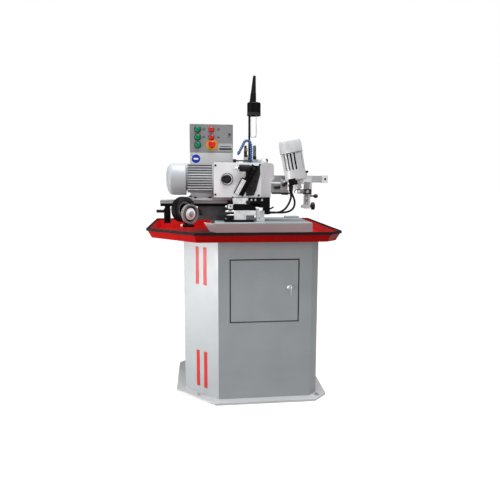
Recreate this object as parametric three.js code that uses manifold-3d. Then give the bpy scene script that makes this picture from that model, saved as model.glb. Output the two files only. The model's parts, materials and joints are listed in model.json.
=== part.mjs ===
// Floor-standing tool grinding machine, in millimetres, +Z up, front towards -Y.
// The origin is on the floor under the middle of the tray.
import * as THREE from 'three';
import Module from 'manifold-3d';

const wasm = await Module();
wasm.setup();
const { Manifold, Mesh } = wasm;

// ---------------------------------------------------------------- driving dimensions
const GAP = 0.3;                 // between touching pieces
const RIM_Z = 850;               // height of the tray's rim
const TRAY = { left: -474, right: 474, front: -425, back: 425, cutLeft: 238, cutRight: 67 };
const TRAY_BASE = { left: -450, right: 450, front: -400, back: 400, cutLeft: 224, cutRight: 55 };
const TRAY_BASE_Z = 801;
const TRAY_WALL = 5;
const PLINTH = { left: -338, right: 422, front: -395, back: 375, cutLeft: 194, cutRight: 70 };
const PLINTH_HEIGHT = 10;
const PEDESTAL = { left: -293, right: 373, front: -346, back: 326, cutLeft: 168, cutRight: 39 };
const SHEET = 4;
const DOOR = { left: -70, right: 272, low: 397, high: 712, thick: 14, gap: 6, seal: 4 };
const BED = { left: -136, right: 348, front: -281, back: 103, top: 880 };
const BEAM = { left: -413, right: 30, front: -95, back: -5, low: 968, top: 984 };
const RAIL = { left: -412, right: -60, low: 953 };
const MOTOR = { y: -50, z: 1092, left: -378, joint: -279, right: -138, radius: 82, finRadius: 77 };
const FIN_BOX = { halfDepth: 70, below: 62, above: 79 };   // squares off the main motor's fins
const HEAD = { left: -138, right: 171, front: -140, back: 30, low: 1002, top: 1178 };
const COVER = { right: 104, front: -150 };
const DRIVE_X = 90;              // vertical output spindle, on the motor's axis plane
const WHEEL = { z: 920, turn: 40, reach: 48 };   // reach: from the guard to the wheel
const GUARD = { x: -291, y: -150, z: 940, radius: 65 };
const CABINET = { left: -262, right: -27, front: 75, back: 225, low: 1000, top: 1389 };
const PANEL_LOW = 1237;
const LAMP = { postX: 52, y: -40, hoodX: 76, hoodLow: 1424, hoodTop: 1492, hoodRadius: 35.5 };
const BAR = { front: -100, back: -88, low: 1079, high: 1115, right: 464 };
const TILT = { x: 279, y: -186, z: 1092, lean: 11 };
const ANCHOR_RADIUS = 7;
const ANCHORS = [[-226, -282], [371, -343], [371, 323], [-226, 262]];
const HINGE_INSET = 6;           // door pins, in from the door's left and front edges
const PIN_RADIUS = 3;
const LOCK = { x: 226, z: 570, hole: 9 };
const FINS = { main: 12, lowest: -65, pitch: 12.9, half: 3.2, tilt: 16 };
const TEETH = 12;                // on each mitre gear
const GEAR_RADIUS = 30;
const FACE = 8;                  // gear face, along the axis
const ADJUSTER = { x: -71, z: 1094, hole: 22.5 };
const ARM = { x: 64, z: 1148, tilt: 28, length: 152, width: 36, pivotRadius: 7 };
const KNOB = { x: 53, z: 1048 };
const START_X = -219;
const STOP_X = -145;
const BUTTON_Z = [1361, 1319, 1277];
const STOP = { x: -142, z: 1280, collar: 24 };
const STEM = 8;                  // button stems, radius
const PEAR = { x: 178, z: 1054 };
const CARRIAGE = { left: 262, right: 316, front: -128, back: -72, low: 1068, high: 1126 };
const CARRIAGE_GLANDS = [[262, -121], [270, -103]];
const GLAND_LOW = 1046;
const SLIDE = { left: 330, right: 362, front: -152, low: 944, high: 1084 };
const BLOCK_GLANDS = [-146, -127];
const GLAND_RIGHT = 156;
const GLAND_Z = 923;
const CABLE_RADIUS = 5.5;
const HOSE_RADIUS = 7.5;

// ---------------------------------------------------------------- solid helpers
const deg = (angle) => angle * Math.PI / 180;

function toSolid(geometry) {
  const plain = geometry.index ? geometry.toNonIndexed() : geometry;
  const position = plain.attributes.position;
  const seen = new Map();
  const vertices = [];
  const triangles = [];
  for (let i = 0; i < position.count; i += 1) {
    const point = [position.getX(i), position.getY(i), position.getZ(i)];
    const key = point.map((value) => Math.round(value * 1e4)).join(',');
    if (!seen.has(key)) {
      seen.set(key, vertices.length / 3);
      vertices.push(...point);
    }
    triangles.push(seen.get(key));
  }
  const kept = [];
  for (let i = 0; i < triangles.length; i += 3) {
    const [a, b, c] = triangles.slice(i, i + 3);
    if (a !== b && b !== c && a !== c) kept.push(a, b, c);
  }
  const mesh = new Mesh({
    numProp: 3, vertProperties: new Float32Array(vertices), triVerts: new Uint32Array(kept),
  });
  return new Manifold(mesh);
}

function toGeometry(solid) {
  const mesh = solid.getMesh();
  const geometry = new THREE.BufferGeometry();
  geometry.setAttribute('position', new THREE.BufferAttribute(mesh.vertProperties, 3));
  geometry.setIndex(new THREE.BufferAttribute(mesh.triVerts, 1));
  geometry.computeVertexNormals();
  return geometry;
}

function join(first, ...others) {
  return others.reduce((sum, other) => sum.add(other), first);
}

function cut(first, ...others) {
  return others.reduce((rest, other) => rest.subtract(other), first);
}

function block(x0, x1, y0, y1, z0, z1) {
  const geometry = new THREE.BoxGeometry(x1 - x0, y1 - y0, z1 - z0);
  geometry.translate((x0 + x1) / 2, (y0 + y1) / 2, (z0 + z1) / 2);
  return toSolid(geometry);
}

// A turned piece: profile is [radius, height] pairs up the +Z axis of its own frame.
function turned(profile, segments = 24) {
  const points = profile.map(([radius, height]) => new THREE.Vector2(radius, height));
  const geometry = new THREE.LatheGeometry(points, segments);
  geometry.rotateX(Math.PI / 2);
  return geometry;
}

function rod(radius, length, segments = 16) {
  return turned([[0, 0], [radius, 0], [radius, length], [0, length]], segments);
}

// Places a turned piece with its base at a point and its axis along a direction.
function along(geometry, x, y, z, direction) {
  const way = new THREE.Vector3(...direction).normalize();
  const spin = new THREE.Quaternion().setFromUnitVectors(new THREE.Vector3(0, 0, 1), way);
  geometry.applyQuaternion(spin);
  geometry.translate(x, y, z);
  return toSolid(geometry);
}

const RIGHT = [1, 0, 0];
const LEFT = [-1, 0, 0];
const BACK = [0, 1, 0];
const FRONT = [0, -1, 0];
const UP = [0, 0, 1];
const DOWN = [0, 0, -1];

function outline(points) {
  return new THREE.Shape(points.map(([x, y]) => new THREE.Vector2(x, y)));
}

function prism(shape, z0, z1) {
  const options = { depth: z1 - z0, bevelEnabled: false, curveSegments: 6 };
  const geometry = new THREE.ExtrudeGeometry(shape, options);
  geometry.translate(0, 0, z0);
  return toSolid(geometry);
}

// A shape drawn in X and Z, pushed back along Y.
function frontPrism(shape, y0, y1) {
  const options = { depth: y1 - y0, bevelEnabled: false, curveSegments: 6 };
  const geometry = new THREE.ExtrudeGeometry(shape, options);
  geometry.rotateX(Math.PI / 2);
  geometry.translate(0, y1, 0);
  return toSolid(geometry);
}

// A convex solid between two outlines with the same number of corners.
function loft(lower, z0, upper, z1) {
  const count = lower.length;
  const at = (points, z) => points.map(([x, y]) => [x, y, z]);
  const low = at(lower, z0);
  const high = at(upper, z1);
  const faces = [];
  for (let i = 0; i < count; i += 1) {
    const next = (i + 1) % count;
    faces.push(low[i], low[next], high[next], low[i], high[next], high[i]);
  }
  for (let i = 1; i < count - 1; i += 1) {
    faces.push(low[0], low[i + 1], low[i]);
    faces.push(high[0], high[i], high[i + 1]);
  }
  const geometry = new THREE.BufferGeometry();
  geometry.setAttribute('position', new THREE.Float32BufferAttribute(faces.flat(), 3));
  return toSolid(geometry);
}

function circle(cx, cy, radius, count = 20) {
  const points = [];
  for (let i = 0; i < count; i += 1) {
    const angle = i * 2 * Math.PI / count;
    points.push([cx + radius * Math.cos(angle), cy + radius * Math.sin(angle)]);
  }
  return points;
}

function tube(points, radius, steps, sides = 10) {
  const curve = new THREE.CatmullRomCurve3(points.map((point) => new THREE.Vector3(...point)));
  const section = outline(circle(0, 0, radius, sides));
  const options = { steps, extrudePath: curve, bevelEnabled: false };
  return toSolid(new THREE.ExtrudeGeometry(section, options));
}

// Cabinet plan: a rectangle with its left corners cut wide and its right ones narrow.
function plan(size, inset = 0, backCut = true) {
  const left = size.left + inset;
  const right = size.right - inset;
  const front = size.front + inset;
  const back = size.back - inset;
  const trim = inset * (2 - Math.SQRT2);
  const cutLeft = size.cutLeft - trim;
  const cutRight = size.cutRight - trim;
  const corners = [
    [left + cutLeft, front], [right - cutRight, front], [right, front + cutRight],
  ];
  if (backCut) {
    corners.push([right, back - cutRight], [right - cutRight, back]);
    corners.push([left + cutLeft, back], [left, back - cutLeft]);
  } else {
    corners.push([right, back], [left, back]);
  }
  corners.push([left, front + cutLeft]);
  return corners;
}

// ---------------------------------------------------------------- materials
function paint(color, roughness, metalness = 0) {
  return { color, roughness, metalness };
}
const WHITE = paint(0xd2d6da, 0.4);
const LIGHT = paint(0xb4b8bc, 0.45);
const GREY = paint(0x8f9496, 0.5);
const RED = paint(0xa8140f, 0.4);
const BLACK = paint(0x141416, 0.5);
const RUBBER = paint(0x101012, 0.8);
const CAST = paint(0x4b4f50, 0.6);
const STEEL = paint(0x9a9da0, 0.3, 1);
const CHROME = paint(0xd8dadc, 0.15, 1);
const ALLOY = paint(0xb9bcbd, 0.35, 1);
const GREEN = paint(0x0f9a4e, 0.35);
const BUTTON_RED = paint(0xd8201c, 0.35);
const BLUE = paint(0x1660b8, 0.45);
const ABRASIVE = paint(0xa9a6a2, 0.9);
const LABEL = paint(0xeceded, 0.6);
const TANK = paint(0x3f4a52, 0.6);

const machine = new THREE.Group();

function add(name, solid, material) {
  const mesh = new THREE.Mesh(toGeometry(solid), new THREE.MeshStandardMaterial(material));
  mesh.name = name;
  machine.add(mesh);
}

// ---------------------------------------------------------------- stand and tray
function buildStand() {
  const holes = ANCHORS.map(([x, y]) => along(rod(ANCHOR_RADIUS, 20), x, y, -5, UP));
  add('plinth_plate', cut(prism(outline(plan(PLINTH)), 0, PLINTH_HEIGHT), ...holes), LIGHT);

  const low = PLINTH_HEIGHT + GAP;
  const high = TRAY_BASE_Z - GAP;
  const skin = cut(
    prism(outline(plan(PEDESTAL)), low, high),
    prism(outline(plan(PEDESTAL, SHEET)), low - 1, high + 1),
  );
  const lip = 18;
  const front = PEDESTAL.front;
  const frame = block(DOOR.left - SHEET, DOOR.right + SHEET, front + 1, front + lip,
    DOOR.low - SHEET, DOOR.high + SHEET);
  const opening = block(DOOR.left, DOOR.right, front - 1, front + lip + 1, DOOR.low, DOOR.high);
  const shell = cut(join(skin, frame), opening);
  const pinX = DOOR.left + DOOR.gap + HINGE_INSET;
  const pinY = front + HINGE_INSET;
  const pinLow = along(rod(PIN_RADIUS, 14, 12), pinX, pinY, DOOR.low - 1, UP);
  const pinHigh = along(rod(PIN_RADIUS, 14, 12), pinX, pinY, DOOR.high + 1, DOWN);
  add('pedestal_shell', join(shell, pinLow, pinHigh), WHITE);
}

// The tank stands on the plinth behind the door, with its pump on the lid.
function buildTank() {
  const low = PLINTH_HEIGHT + 2 * GAP;
  const tank = join(
    block(-200, 230, -180, 200, low, 240),
    block(-206, 236, -186, 206, 239, 247),
    along(rod(55, 150, 24), 120, 60, 246, UP),
    along(rod(14, 40, 12), 60, 60, 246, UP),
    block(46, 130, 46, 74, 270, 288),
  );
  add('coolant_tank', tank, TANK);
}

function buildDoor() {
  const left = DOOR.left + DOOR.gap;
  const right = DOOR.right - DOOR.gap;
  const low = DOOR.low + DOOR.gap;
  const high = DOOR.high - DOOR.gap;
  const front = PEDESTAL.front;
  const panel = cut(
    block(left, right, front, front + DOOR.thick, low, high),
    block(left + 20, right - 20, front + 3, front + DOOR.thick + 1, low + 20, high - 20),
    along(rod(PIN_RADIUS + 0.4, 20, 12), left + HINGE_INSET, front + HINGE_INSET, low - 5, UP),
    along(rod(PIN_RADIUS + 0.4, 20, 12), left + HINGE_INSET, front + HINGE_INSET, high + 5, DOWN),
    along(rod(LOCK.hole, 30, 20), LOCK.x, front + 20, LOCK.z, FRONT),
  );
  add('door_panel', panel, WHITE);

  // The seal runs round the panel's edge, with a hole for each hinge pin.
  const ring = cut(
    block(left - DOOR.seal, right + DOOR.seal, front + 0.5, front + 9,
      low - DOOR.seal, high + DOOR.seal),
    block(left - GAP, right + GAP, front - 1, front + 10, low - GAP, high + GAP),
    along(rod(PIN_RADIUS + 1, 20, 12), left + HINGE_INSET, front + HINGE_INSET, low - 10, UP),
    along(rod(PIN_RADIUS + 1, 20, 12), left + HINGE_INSET, front + HINGE_INSET, high + 10, DOWN),
  );
  add('door_seal', ring, RUBBER);

  const barrel = join(
    along(turned([[0, 0], [13, 0], [13, 2], [11, 4], [0, 4]], 20), LOCK.x, front - GAP, LOCK.z, FRONT),
    along(rod(LOCK.hole - 0.5, 24, 20), LOCK.x, front - 1, LOCK.z, BACK),
    block(LOCK.x - 10, LOCK.x + 10, front + 16, front + 19, LOCK.z - 10, LOCK.z + 10),
  );
  const blade = block(LOCK.x - 1, LOCK.x + 1, front - 26, front - 2, LOCK.z - 4, LOCK.z + 4);
  const bow = along(rod(11, 3, 16), LOCK.x - 1.5, front - 26, LOCK.z, RIGHT);
  const tag = block(LOCK.x - 1.2, LOCK.x + 1.2, front - 34, front - 20, LOCK.z - 34, LOCK.z - 5);
  add('door_lock', join(barrel, blade, bow, tag), CHROME);
}

function buildTray() {
  const outer = loft(plan(TRAY_BASE, 0, false), TRAY_BASE_Z, plan(TRAY, 0, false), RIM_Z - 4);
  const inner = loft(plan(TRAY_BASE, TRAY_WALL, false), TRAY_BASE_Z + TRAY_WALL,
    plan(TRAY, TRAY_WALL - 2, false), RIM_Z);
  add('tray_pan', cut(outer, inner), RED);

  // Edging pressed over the rim: a band with a groove that clears the pan's wall.
  const band = cut(
    prism(outline(plan(TRAY, -2, false)), RIM_Z - 13, RIM_Z),
    prism(outline(plan(TRAY, 9, false)), RIM_Z - 20, RIM_Z + 1),
  );
  const groove = loft(plan(TRAY_BASE, -GAP, false), TRAY_BASE_Z, plan(TRAY, -GAP, false), RIM_Z - 3.7);
  add('tray_trim', cut(band, groove), RUBBER);
}

function buildBed() {
  const body = block(BED.left, BED.right, BED.front, BED.back, TRAY_BASE_Z + TRAY_WALL + GAP, BED.top);
  const wing = [[0, 0], [82, 0], [40, -44], [0, -44]];
  const options = { depth: 5, bevelEnabled: false };
  const plate = new THREE.ExtrudeGeometry(outline(wing), options);
  plate.rotateX(Math.PI / 2);
  plate.rotateZ(deg(135));
  plate.translate(BED.left + 3, BED.front + 3, BED.top);
  const slot = block(177, 259, 55, 78, BED.top - 12, BED.top + 1);
  const raised = block(265, 342, 40, BED.back - 2, BED.top - 1, BED.top + 9);
  const trough = block(90, 330, -262, -246, BED.top - 6, BED.top + 1);
  const stop = join(
    block(77, 118, -184, -152, BED.top - 1, BED.top + 12),
    block(77, 90, -180, -152, BED.top, BED.top + 64),
    block(96, 118, -176, -152, BED.top, BED.top + 54),
  );
  add('bed', cut(join(body, toSolid(plate), raised, stop), slot, trough), GREY);

  const column = turned([[0, 0], [85, 0], [85, 18], [74, 26], [68, 50], [78, 62], [78, 72.4], [0, 72.4]], 32);
  const shoulder = block(-222, -70, -72, 60, BED.top + GAP, RAIL.low - GAP);
  const pocket = block(-223, -200, -73, 0, 905, 935);
  add('column_casting', join(along(column, -90, 10, BED.top + GAP, UP), cut(shoulder, pocket)), CAST);
}

// ---------------------------------------------------------------- beam
function buildBeam() {
  const { left, right, front, back, low, top } = BEAM;
  const body = block(left, right, front, back, low, top);
  add('beam', cut(body, block(left + 6, left + 60, front - 1, front + 3, low + 5, low + 11)), GREY);
  add('beam_rail', block(RAIL.left, RAIL.right, front + 6, back - 6, RAIL.low, low - GAP), BLACK);

  const clamp = join(
    block(-393, -361, -112, -74, 868, 943),
    block(-390, -364, -90, -45, 930, RAIL.low - GAP),
  );
  add('clamp_block', clamp, BLACK);
  const grip = turned([[0, 0], [8, 0], [8, 36], [6, 39], [0, 39]], 16);
  add('clamp_handle', along(grip, -393 - GAP, -93, 928, LEFT), BLACK);
}

// ---------------------------------------------------------------- main motor and head
function buildMotor() {
  const { y, z, left, joint, right, radius, finRadius } = MOTOR;
  const feet = join(
    block(joint + 4, BEAM.right, BEAM.front, BEAM.back, BEAM.top + GAP, HEAD.low - GAP),
    block(joint + 30, right - 6, -108, 8, BEAM.top + GAP, 996),
    block(joint + 20, right - 14, -82, -18, 996, 1026),
  );
  const barrel = along(rod(finRadius + 1, 400, 40), -500, y, z, RIGHT);
  add('motor_foot', cut(feet, barrel), LIGHT);

  const core = along(rod(60, right - joint - 2 * GAP, 32), joint + GAP, y, z, RIGHT);
  const { halfDepth, below, above } = FIN_BOX;
  const round = along(rod(finRadius, right - joint - 14, 40), joint + 7, y, z, RIGHT);
  const square = block(joint + 7, right - 7, y - halfDepth, y + halfDepth, z - below, z + above);
  const envelope = join(round, square);
  const flange = along(rod(finRadius, 8, 32), right - 8 - GAP, y, z, RIGHT);
  let body = join(core, flange);
  for (let i = 0; i < FINS.main; i += 1) {
    const height = z + FINS.lowest + i * FINS.pitch;
    const fin = block(joint + 7, right - 7, y - radius, y + radius, height - FINS.half, height + FINS.half);
    body = body.add(fin.intersect(envelope));
  }
  const bore = along(rod(32, 118, 24), right + 1, y, z, LEFT);
  add('motor_body', cut(body, bore), LIGHT);

  const cowl = turned([[0, 0], [40, 0], [62, 5], [76, 16], [radius, 32], [radius, joint - left],
    [0, joint - left]], 40);
  add('motor_fan_cover', along(cowl, left, y, z, RIGHT), WHITE);
}

// A 45 degree bevel gear standing on its back face, its cone pointing up.
function bevelGear(hub, offset) {
  const root = GEAR_RADIUS - 3;
  let gear = toSolid(turned([[0, -6], [root, -6], [root, 0], [root - FACE, FACE], [0, FACE]], 20));
  gear = gear.add(toSolid(rod(hub, FACE + 4, 16)));
  for (let i = 0; i < TEETH; i += 1) {
    const tooth = new THREE.BoxGeometry(4.6, 3.2, FACE * Math.SQRT2);
    tooth.rotateY(-Math.PI / 4);
    tooth.translate(GEAR_RADIUS - 1.2 - FACE / 2, 0, FACE / 2 - 1.2);
    tooth.rotateZ((i + offset) * 2 * Math.PI / TEETH);
    gear = gear.add(toSolid(tooth));
  }
  return gear;
}

function buildDrive() {
  const { y, z, right } = MOTOR;
  const pinionX = DRIVE_X - GEAR_RADIUS;
  const pinion = bevelGear(12, 0).rotate([0, 90, 0]).translate([pinionX, y, z]);
  const shaft = along(rod(12, pinionX + 4 - (right - 108), 20), right - 108, y, z, RIGHT);
  const rotor = along(rod(30, 96, 24), right - 108, y, z, RIGHT);
  add('motor_rotor', join(rotor, shaft, pinion), STEEL);

  const gearZ = z - GEAR_RADIUS;
  const gear = bevelGear(10, 0.5).translate([DRIVE_X, y, gearZ]);
  const spindle = along(rod(10, gearZ - 960, 20), DRIVE_X, y, 960, UP);
  add('output_spindle', join(gear, spindle), STEEL);
}

function buildHead() {
  const { left, right, front, back, low, top } = HEAD;
  const corner = 22;
  const step = 16;
  const side = new THREE.Shape();
  side.moveTo(left, low);
  side.lineTo(right - step, low);
  side.lineTo(right - step + 2, low + 78);
  side.lineTo(right, low + 92);
  side.lineTo(right, top - corner);
  side.quadraticCurveTo(right, top, right - corner, top);
  side.lineTo(left, top);
  const outer = frontPrism(side, front, back);
  const wall = 9;
  const cavity = block(left + wall, COVER.right - 12, front - 1, back - wall, low + wall, top - wall);
  const shaftWay = along(rod(14, 40, 20), left - 5, MOTOR.y, MOTOR.z, RIGHT);
  const spindleWay = along(rod(11.5, 40, 20), DRIVE_X, MOTOR.y, low - 5, UP);
  const gearRoom = block(COVER.right - 13, DRIVE_X + 36, MOTOR.y - 36, MOTOR.y + 36, low + wall,
    top - wall);
  const cap = turned([[0, 0], [21, 0], [20, 12], [14, 19], [0, 22]], 24);
  const filler = along(cap, 128, MOTOR.y, top - 1, UP);
  const barStub = block(right - 10, right + 1, BAR.front - GAP, BAR.back + GAP, BAR.low - GAP,
    BAR.high + GAP);
  const shell = cut(outer, cavity, gearRoom, shaftWay, spindleWay, barStub);
  add('head_housing', join(shell, filler), WHITE);

  const plate = block(left, COVER.right, COVER.front, front - GAP, low, top - 4);
  const ringCut = along(rod(ADJUSTER.hole, 30, 28), ADJUSTER.x, COVER.front - 20, ADJUSTER.z, BACK);
  const ring = along(rod(30, 7, 28), ADJUSTER.x, COVER.front + 1, ADJUSTER.z, FRONT);
  const wedge = frontPrism(outline([[-8, 1006], [24, 1008], [94, 1118], [92, 1166], [20, 1166]]),
    COVER.front - 3, COVER.front + 1);
  const pivotHole = along(rod(ARM.pivotRadius + 0.4, 30, 16), ARM.x, COVER.front - 10, ARM.z, BACK);
  const knobHole = along(rod(4.4, 12, 16), KNOB.x, COVER.front - 6, KNOB.z, BACK);
  add('head_cover', cut(join(plate, ring, wedge), ringCut, pivotHole, knobHole), WHITE);
}

function buildHeadControls() {
  const front = COVER.front;
  const disc = along(rod(22, 14, 24), ADJUSTER.x, front + 9, ADJUSTER.z, FRONT);
  const thumb = along(turned([[0, 0], [21, 0], [21, 14], [19, 16], [0, 16]], 24), ADJUSTER.x - 7,
    front - 7, ADJUSTER.z, FRONT);
  const neck = along(rod(12, 6, 16), ADJUSTER.x - 4, front - 4, ADJUSTER.z, FRONT);
  add('adjuster_disc', join(disc, neck, thumb), BLACK);

  // The arm is a channel: a floor with a rib along each edge, leaning from its pivot.
  const half = ARM.width / 2;
  const face = front - 3 - GAP;
  const floor = block(-half, half, face - 6, face, -ARM.length, 16);
  const leftRib = block(-half, -half + 6, face - 16, face, -ARM.length, 16);
  const rightRib = block(half - 6, half, face - 16, face, -ARM.length, 16);
  const pivot = along(rod(ARM.pivotRadius, 8, 16), 0, face - 1, 0, BACK);
  const scale = block(-half + 1, -half + 23, face - 19, face - 5, -ARM.length + 16, -ARM.length + 92);
  const swing = join(floor, leftRib, rightRib, pivot, scale).rotate([0, ARM.tilt, 0]);
  const grip = turned([[0, 0], [6, 0], [6, 6], [15, 7], [17, 9], [17, 60], [9, 61], [9, 74], [0, 74]], 20);
  const handle = along(grip, -18, face - 22, 1150, RIGHT);
  add('index_arm', join(swing.translate([ARM.x, 0, ARM.z]), handle), BLACK);

  const knob = join(
    along(turned([[0, 0], [8.5, 0], [8.5, 8], [6, 11], [0, 11]], 16), KNOB.x, front - 3 - GAP, KNOB.z, FRONT),
    along(rod(4, 6, 16), KNOB.x, front - 4, KNOB.z, BACK),
  );
  add('plate_knob', knob, BLACK);
}

// ---------------------------------------------------------------- grinding wheel unit
function wheelPiece(profile, height, forward, segments) {
  const way = [Math.sin(deg(WHEEL.turn)), -Math.cos(deg(WHEEL.turn)), 0];
  const base = [GUARD.x + way[0] * forward, GUARD.y + way[1] * forward, height];
  return along(turned(profile, segments), ...base, way);
}

function buildWheelUnit() {
  const radius = GUARD.radius;
  const guard = wheelPiece([[0, -18], [radius, -18], [radius, 12], [radius - 6, 18], [45, 18], [45, -12],
    [0, -12]], GUARD.z, 0, 28);
  const ring = wheelPiece([[32, -13], [40, -13], [40, 6], [32, 6], [32, -13]], GUARD.z, 0, 24);
  const housing = wheelPiece([[0, -40], [26, -40], [26, -17], [0, -17]], WHEEL.z, 0, 20);
  const bore = wheelPiece([[0, -36], [10, -36], [10, 30], [0, 30]], WHEEL.z, 0, 16);
  const bracket = block(-338, -285, -122, BEAM.front - GAP, 925, BEAM.top - 2);
  const link = block(-340, -280, -124, -97, 890, 930);
  const drop = block(-290, -250, -124, -112, 858, 900);
  const arm = block(-262, -250, -213, -120, 858, 868);
  const peg = along(turned([[0, 0], [6, 0], [7, 4], [7, 66], [0, 66]], 12), -304, -212, 863, RIGHT);
  add('wheel_guard', cut(join(guard, ring, housing, bracket, link, drop, arm, peg), bore), BLACK);

  add('wheel_spindle', wheelPiece([[0, -34], [9, -34], [9, 34], [0, 34]], WHEEL.z, 0, 16), STEEL);
  const wheel = wheelPiece([[0, -12], [42, -12], [50, -6], [50, 10], [40, 10], [38, 0], [0, 0]], WHEEL.z,
    WHEEL.reach, 32);
  const seat = wheelPiece([[0, -30], [9.3, -30], [9.3, 0], [0, 0]], WHEEL.z, WHEEL.reach - 13.7, 16);
  add('grinding_wheel', cut(wheel, seat), ABRASIVE);
  const flange = wheelPiece([[0, GAP], [33, GAP], [33, 7], [20, 8], [20, 13], [9, 15], [0, 15]], WHEEL.z,
    WHEEL.reach, 28);
  add('wheel_flange', flange, LABEL);
}

// ---------------------------------------------------------------- electrical cabinet
function buildCabinet() {
  const { left, right, front, back, low, top } = CABINET;
  const face = front + 3 + GAP;
  const body = block(left, right, face, back, low, top);
  const hollow = block(left + 5, right - 5, front, back - 6, PANEL_LOW + 6, top - 5);
  const stalk = block(-150, -60, 110, 190, TRAY_BASE_Z + TRAY_WALL + GAP, low + 1);
  const foot = block(-165, -45, 106, 200, TRAY_BASE_Z + TRAY_WALL + GAP, TRAY_BASE_Z + TRAY_WALL + 10);
  const lowerFace = block(left, right, front, face + 1, low, PANEL_LOW - 1);
  add('cabinet_box', join(cut(body, hollow), stalk, foot, lowerFace), LIGHT);

  const holes = BUTTON_Z.map((z) => along(rod(STEM + 0.5, 10, 16), START_X, front - 5, z, BACK));
  holes.push(...BUTTON_Z.slice(0, 2).map((z) => along(rod(STEM + 0.5, 10, 16), STOP_X, front - 5, z, BACK)));
  holes.push(along(rod(STEM + 0.5, 10, 16), STOP.x, front - 5, STOP.z, BACK));
  const panel = block(left, right, front, front + 3, PANEL_LOW, top);
  const collar = along(rod(STOP.collar, 3, 32), STOP.x, front + 1, STOP.z, FRONT);
  const latch = along(rod(7, 5, 16), -46, front + 1, 1334, FRONT);
  add('control_door', cut(join(panel, collar, latch), ...holes), GREY);
}

function pushButton(name, x, z, radius, height, material) {
  const front = CABINET.front;
  const lift = 4.5;
  const cap = turned([[0, 0], [radius, 0], [radius, height * 0.6], [radius * 0.7, height], [0, height]], 18);
  const button = join(
    along(cap, x, front - lift, z, FRONT),
    along(rod(STEM, lift + 9, 12), x, front - lift - 1, z, BACK),
  );
  add(name, button, material);
}

function buildButtons() {
  BUTTON_Z.forEach((z, i) => pushButton(`start_button_${i + 1}`, START_X, z, 15.5, 9, GREEN));
  BUTTON_Z.slice(0, 2).forEach((z, i) => pushButton(`stop_button_${i + 1}`, STOP_X, z, 13.5, 9, BUTTON_RED));
  const front = CABINET.front - 2;
  const lift = 6;
  const cap = turned([[0, 0], [12, 0], [13, 6], [20, 8], [20, 15], [14, 21], [0, 23]], 28);
  const mushroom = join(
    along(cap, STOP.x, front - lift, STOP.z, FRONT),
    along(rod(STEM, lift + 12, 16), STOP.x, front - lift - 1, STOP.z, BACK),
  );
  add('estop_mushroom', mushroom, BUTTON_RED);
}

// ---------------------------------------------------------------- lamp and coolant
function buildLamp() {
  const { postX, y, hoodX, hoodLow, hoodTop, hoodRadius } = LAMP;
  const postTop = hoodTop - 14;
  add('lamp_post', along(rod(5.5, postTop - HEAD.top - GAP, 16), postX, y, HEAD.top + GAP, UP), BLACK);

  const shell = turned([[0, hoodTop - 5], [hoodRadius - 3, hoodTop - 5], [hoodRadius - 3, hoodLow],
    [hoodRadius, hoodLow], [hoodRadius, hoodTop - 5], [hoodRadius - 5, hoodTop], [0, hoodTop]], 32);
  shell.translate(hoodX, y, 0);
  const boss = along(rod(10, 40, 16), postX, y, hoodTop - 1, DOWN);
  const socket = along(rod(5.8, 60, 16), postX, y, postTop + GAP, DOWN);
  const bail = tube([[hoodX + 12, y, hoodTop - 3], [hoodX + 12, y, 1400], [hoodX + 12, y, 1322],
    [hoodX + 8, y, 1315], [postX + 9, y, 1314]], 1.8, 14, 6);
  add('lamp_hood', join(cut(join(toSolid(shell), boss), socket), bail), BLACK);
  const boot = loft(circle(hoodX - 6, y, 17), hoodTop + GAP, circle(hoodX + 2, y, 7), 1628);
  add('lamp_boot', boot, RUBBER);
}

function buildCoolant() {
  const base = { x: 57, y: -80 };
  const route = [[57, 1200], [58, 1222], [58, 1250], [56, 1274], [49, 1289], [36, 1293], [24, 1287],
    [14, 1268], [3, 1247], [-7, 1229]].map(([x, z]) => [x, base.y, z]);
  const hose = tube(route, HOSE_RADIUS, 26, 8);
  const collar = turned([[0, 0], [11, 0], [11, 14], [8, 20], [0, 24]], 16);
  const fitting = along(collar, base.x, base.y, HEAD.top + GAP, UP);
  const nozzle = along(turned([[0, 0], [8, 0], [8, 8], [3, 22], [0, 22]], 16), -7, base.y, 1234, DOWN);
  add('coolant_hose', join(hose, fitting, nozzle), BLUE);

  const body = join(
    block(20, 42, -90, -68, HEAD.top + GAP, 1208),
    block(27, 35, -70, -1, HEAD.top + GAP, 1187),
    block(27, 74, -9, -1, HEAD.top + GAP, 1187),
    block(70, 98, -19, 9, HEAD.top + GAP, 1199),
    along(turned([[0, 0], [9, 0], [9, 18], [6.5, 19], [6.5, 70], [5, 76], [0, 76]], 16), 84, -5, 1198, UP),
    along(rod(3, 14, 12), 31, -79, 1207, UP),
  );
  add('valve_body', body, LABEL);
  const lever = cut(
    join(block(22, 40, -88, -70, 1208 + GAP, 1220), block(22, 28, -88, -70, 1219, 1234)),
    along(rod(3.4, 40, 12), 31, -79, 1200, UP),
  );
  add('valve_lever', lever, BLACK);
}

// ---------------------------------------------------------------- second motor on its bar
function leaning(geometry, forward) {
  const way = [-Math.sin(deg(TILT.lean)), 0, Math.cos(deg(TILT.lean))];
  return along(geometry, TILT.x + way[0] * forward, TILT.y, TILT.z + way[2] * forward, way);
}

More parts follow.
